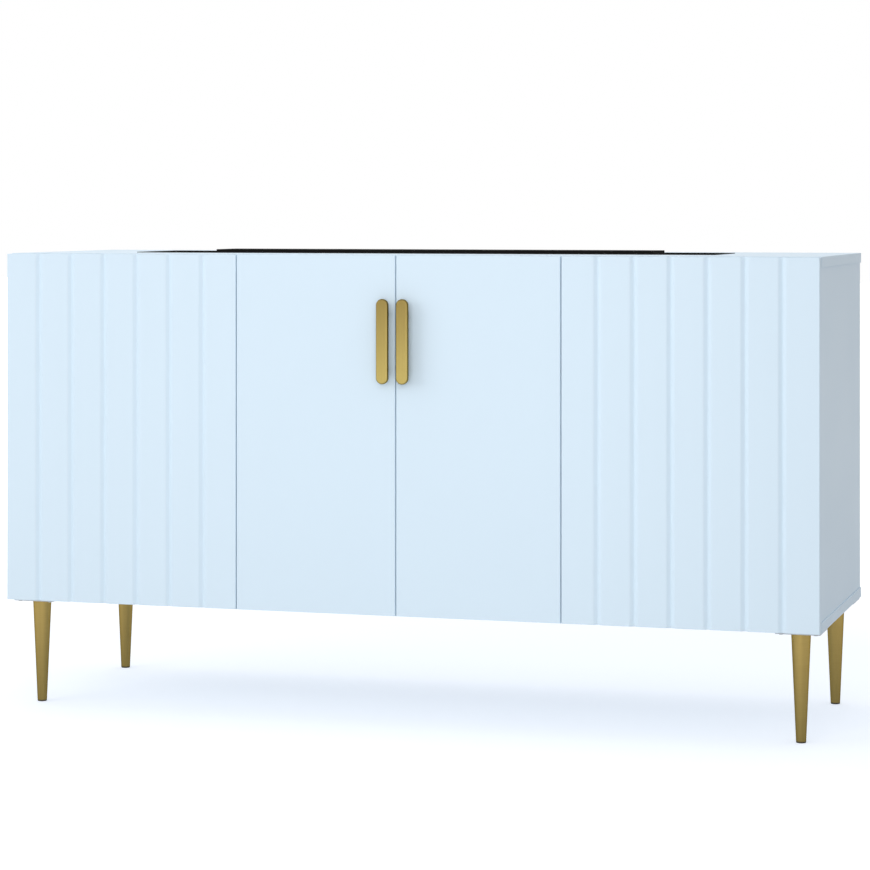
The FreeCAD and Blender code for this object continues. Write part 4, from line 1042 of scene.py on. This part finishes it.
class STAND_OT_stage(bpy.types.Operator):
    """Set the floor, the soft light and the camera"""
    bl_idname = "stand.stage"
    bl_label = "Stage"

    def floor(self, stage):
        """Pale paper floor that turns white away from the stand."""
        half = stage.floor_half
        data = bpy.data.meshes.new("floor")
        data.from_pydata([(-half, -half, 0), (half, -half, 0), (half, half, 0), (-half, half, 0)], [],
                         [(0, 1, 2, 3)])
        item = bpy.data.objects.new("floor", data)
        bpy.context.scene.collection.objects.link(item)
        material = bpy.data.materials.new("floor_paper")
        material.use_nodes = True
        tree = material.node_tree
        tree.nodes.remove(tree.nodes["Principled BSDF"])
        paper = add(tree, "ShaderNodeBsdfDiffuse", {"Color": shade(stage.floor_tone, 1.0)})
        away = compute_vector(tree, "LENGTH", object_place(tree))["Value"]
        whiter = rescale(tree, away, stage.glow_near, stage.glow_far)
        light = blend(tree, whiter, shade(stage.floor_glow, 1.0), WHITE)
        glow = add(tree, "ShaderNodeEmission", {"Color": light, "Strength": self.seen(tree)})
        both = add(tree, "ShaderNodeAddShader")
        fill(tree, both.inputs[0], paper.outputs[0])
        fill(tree, both.inputs[1], glow.outputs[0])
        fill(tree, tree.nodes["Material Output"].inputs["Surface"], both.outputs[0])
        data.materials.append(material)

    def seen(self, tree):
        """1 for rays from the camera and from shiny or clear surfaces, else 0."""
        path = add(tree, "ShaderNodeLightPath").outputs
        total = path["Is Camera Ray"]
        for name in ("Is Glossy Ray", "Is Transmission Ray"):
            total = compute(tree, "MAXIMUM", total, path[name])
        return total

    def room(self, stage):
        """White surroundings that light the stand at a plain level."""
        world = bpy.data.worlds.new("studio")
        bpy.context.scene.world = world
        world.use_nodes = True
        tree = world.node_tree
        seen = self.seen(tree)
        background = tree.nodes["Background"].inputs
        fill(tree, background["Color"], blend(tree, seen, shade(stage.room_tone, 1.0), WHITE))
        fill(tree, background["Strength"], rescale(tree, seen, 0.0, 1.0, stage.room_light, 1.0))

    def lamp(self, name, place_at, size, watts):
        """Soft square lamp that faces the middle of the stand."""
        data = bpy.data.lights.new(name, "AREA")
        data.energy = watts
        data.size = size
        item = bpy.data.objects.new(name, data)
        bpy.context.scene.collection.objects.link(item)
        item.location = place_at
        low, high = CAD_BOX
        aim = (Vector(low) + Vector(high)) / 2
        item.rotation_euler = (aim - item.location).to_track_quat("-Z", "Y").to_euler()

    def camera(self, stage):
        """Level camera with an upright shift."""
        data = bpy.data.cameras.new("photo_camera")
        data.lens = stage.lens
        data.shift_y = stage.rise
        item = bpy.data.objects.new("photo_camera", data)
        bpy.context.scene.collection.objects.link(item)
        item.location = stage.camera_place
        item.rotation_euler = (math.radians(90), 0, stage.camera_turn)
        bpy.context.scene.camera = item

    def execute(self, context):
        stage = context.scene.stand_stage
        self.floor(stage)
        self.room(stage)
        self.lamp("key", stage.key_place, stage.key_size, stage.key_power)
        self.lamp("fill", stage.fill_place, stage.fill_size, stage.fill_power)
        self.lamp("overhead", stage.top_place, stage.top_size, stage.top_power)
        self.camera(stage)
        context.scene.view_settings.view_transform = "Standard"
        return {"FINISHED"}


OPERATORS = (STAND_OT_case, STAND_OT_doors, STAND_OT_back, STAND_OT_legs, STAND_OT_pulls, STAND_OT_hinges,
             STAND_OT_catches, STAND_OT_fixings, STAND_OT_fire, STAND_OT_wool, STAND_OT_stage)
SETTINGS = {"stand_colours": StandColours, "stand_sizes": StandSizes, "stand_stage": StandStage}


class STAND_PT_panel(bpy.types.Panel):
    """Steps that finish the tv stand, with their settings"""
    bl_idname = "STAND_PT_panel"
    bl_label = "TV Stand"
    bl_space_type = "VIEW_3D"
    bl_region_type = "UI"
    bl_category = "TV Stand"

    def draw(self, context):
        for operator in OPERATORS:
            self.layout.operator(operator.bl_idname)
        for name, group in SETTINGS.items():
            column = self.layout.column(heading=group.__doc__)
            for setting in group.__annotations__:
                column.prop(getattr(context.scene, name), setting)


def register():
    for item in (*SETTINGS.values(), *OPERATORS, STAND_PT_panel):
        bpy.utils.register_class(item)
    for name, group in SETTINGS.items():
        setattr(bpy.types.Scene, name, bpy.props.PointerProperty(type=group))


def unregister():
    for name in SETTINGS:
        delattr(bpy.types.Scene, name)
    for item in (STAND_PT_panel, *reversed(OPERATORS), *reversed(SETTINGS.values())):
        bpy.utils.unregister_class(item)


def main():
    register()
    for operator in OPERATORS:
        family, step = operator.bl_idname.split(".")
        getattr(getattr(bpy.ops, family), step)()


if __name__ == "__main__":
    main()
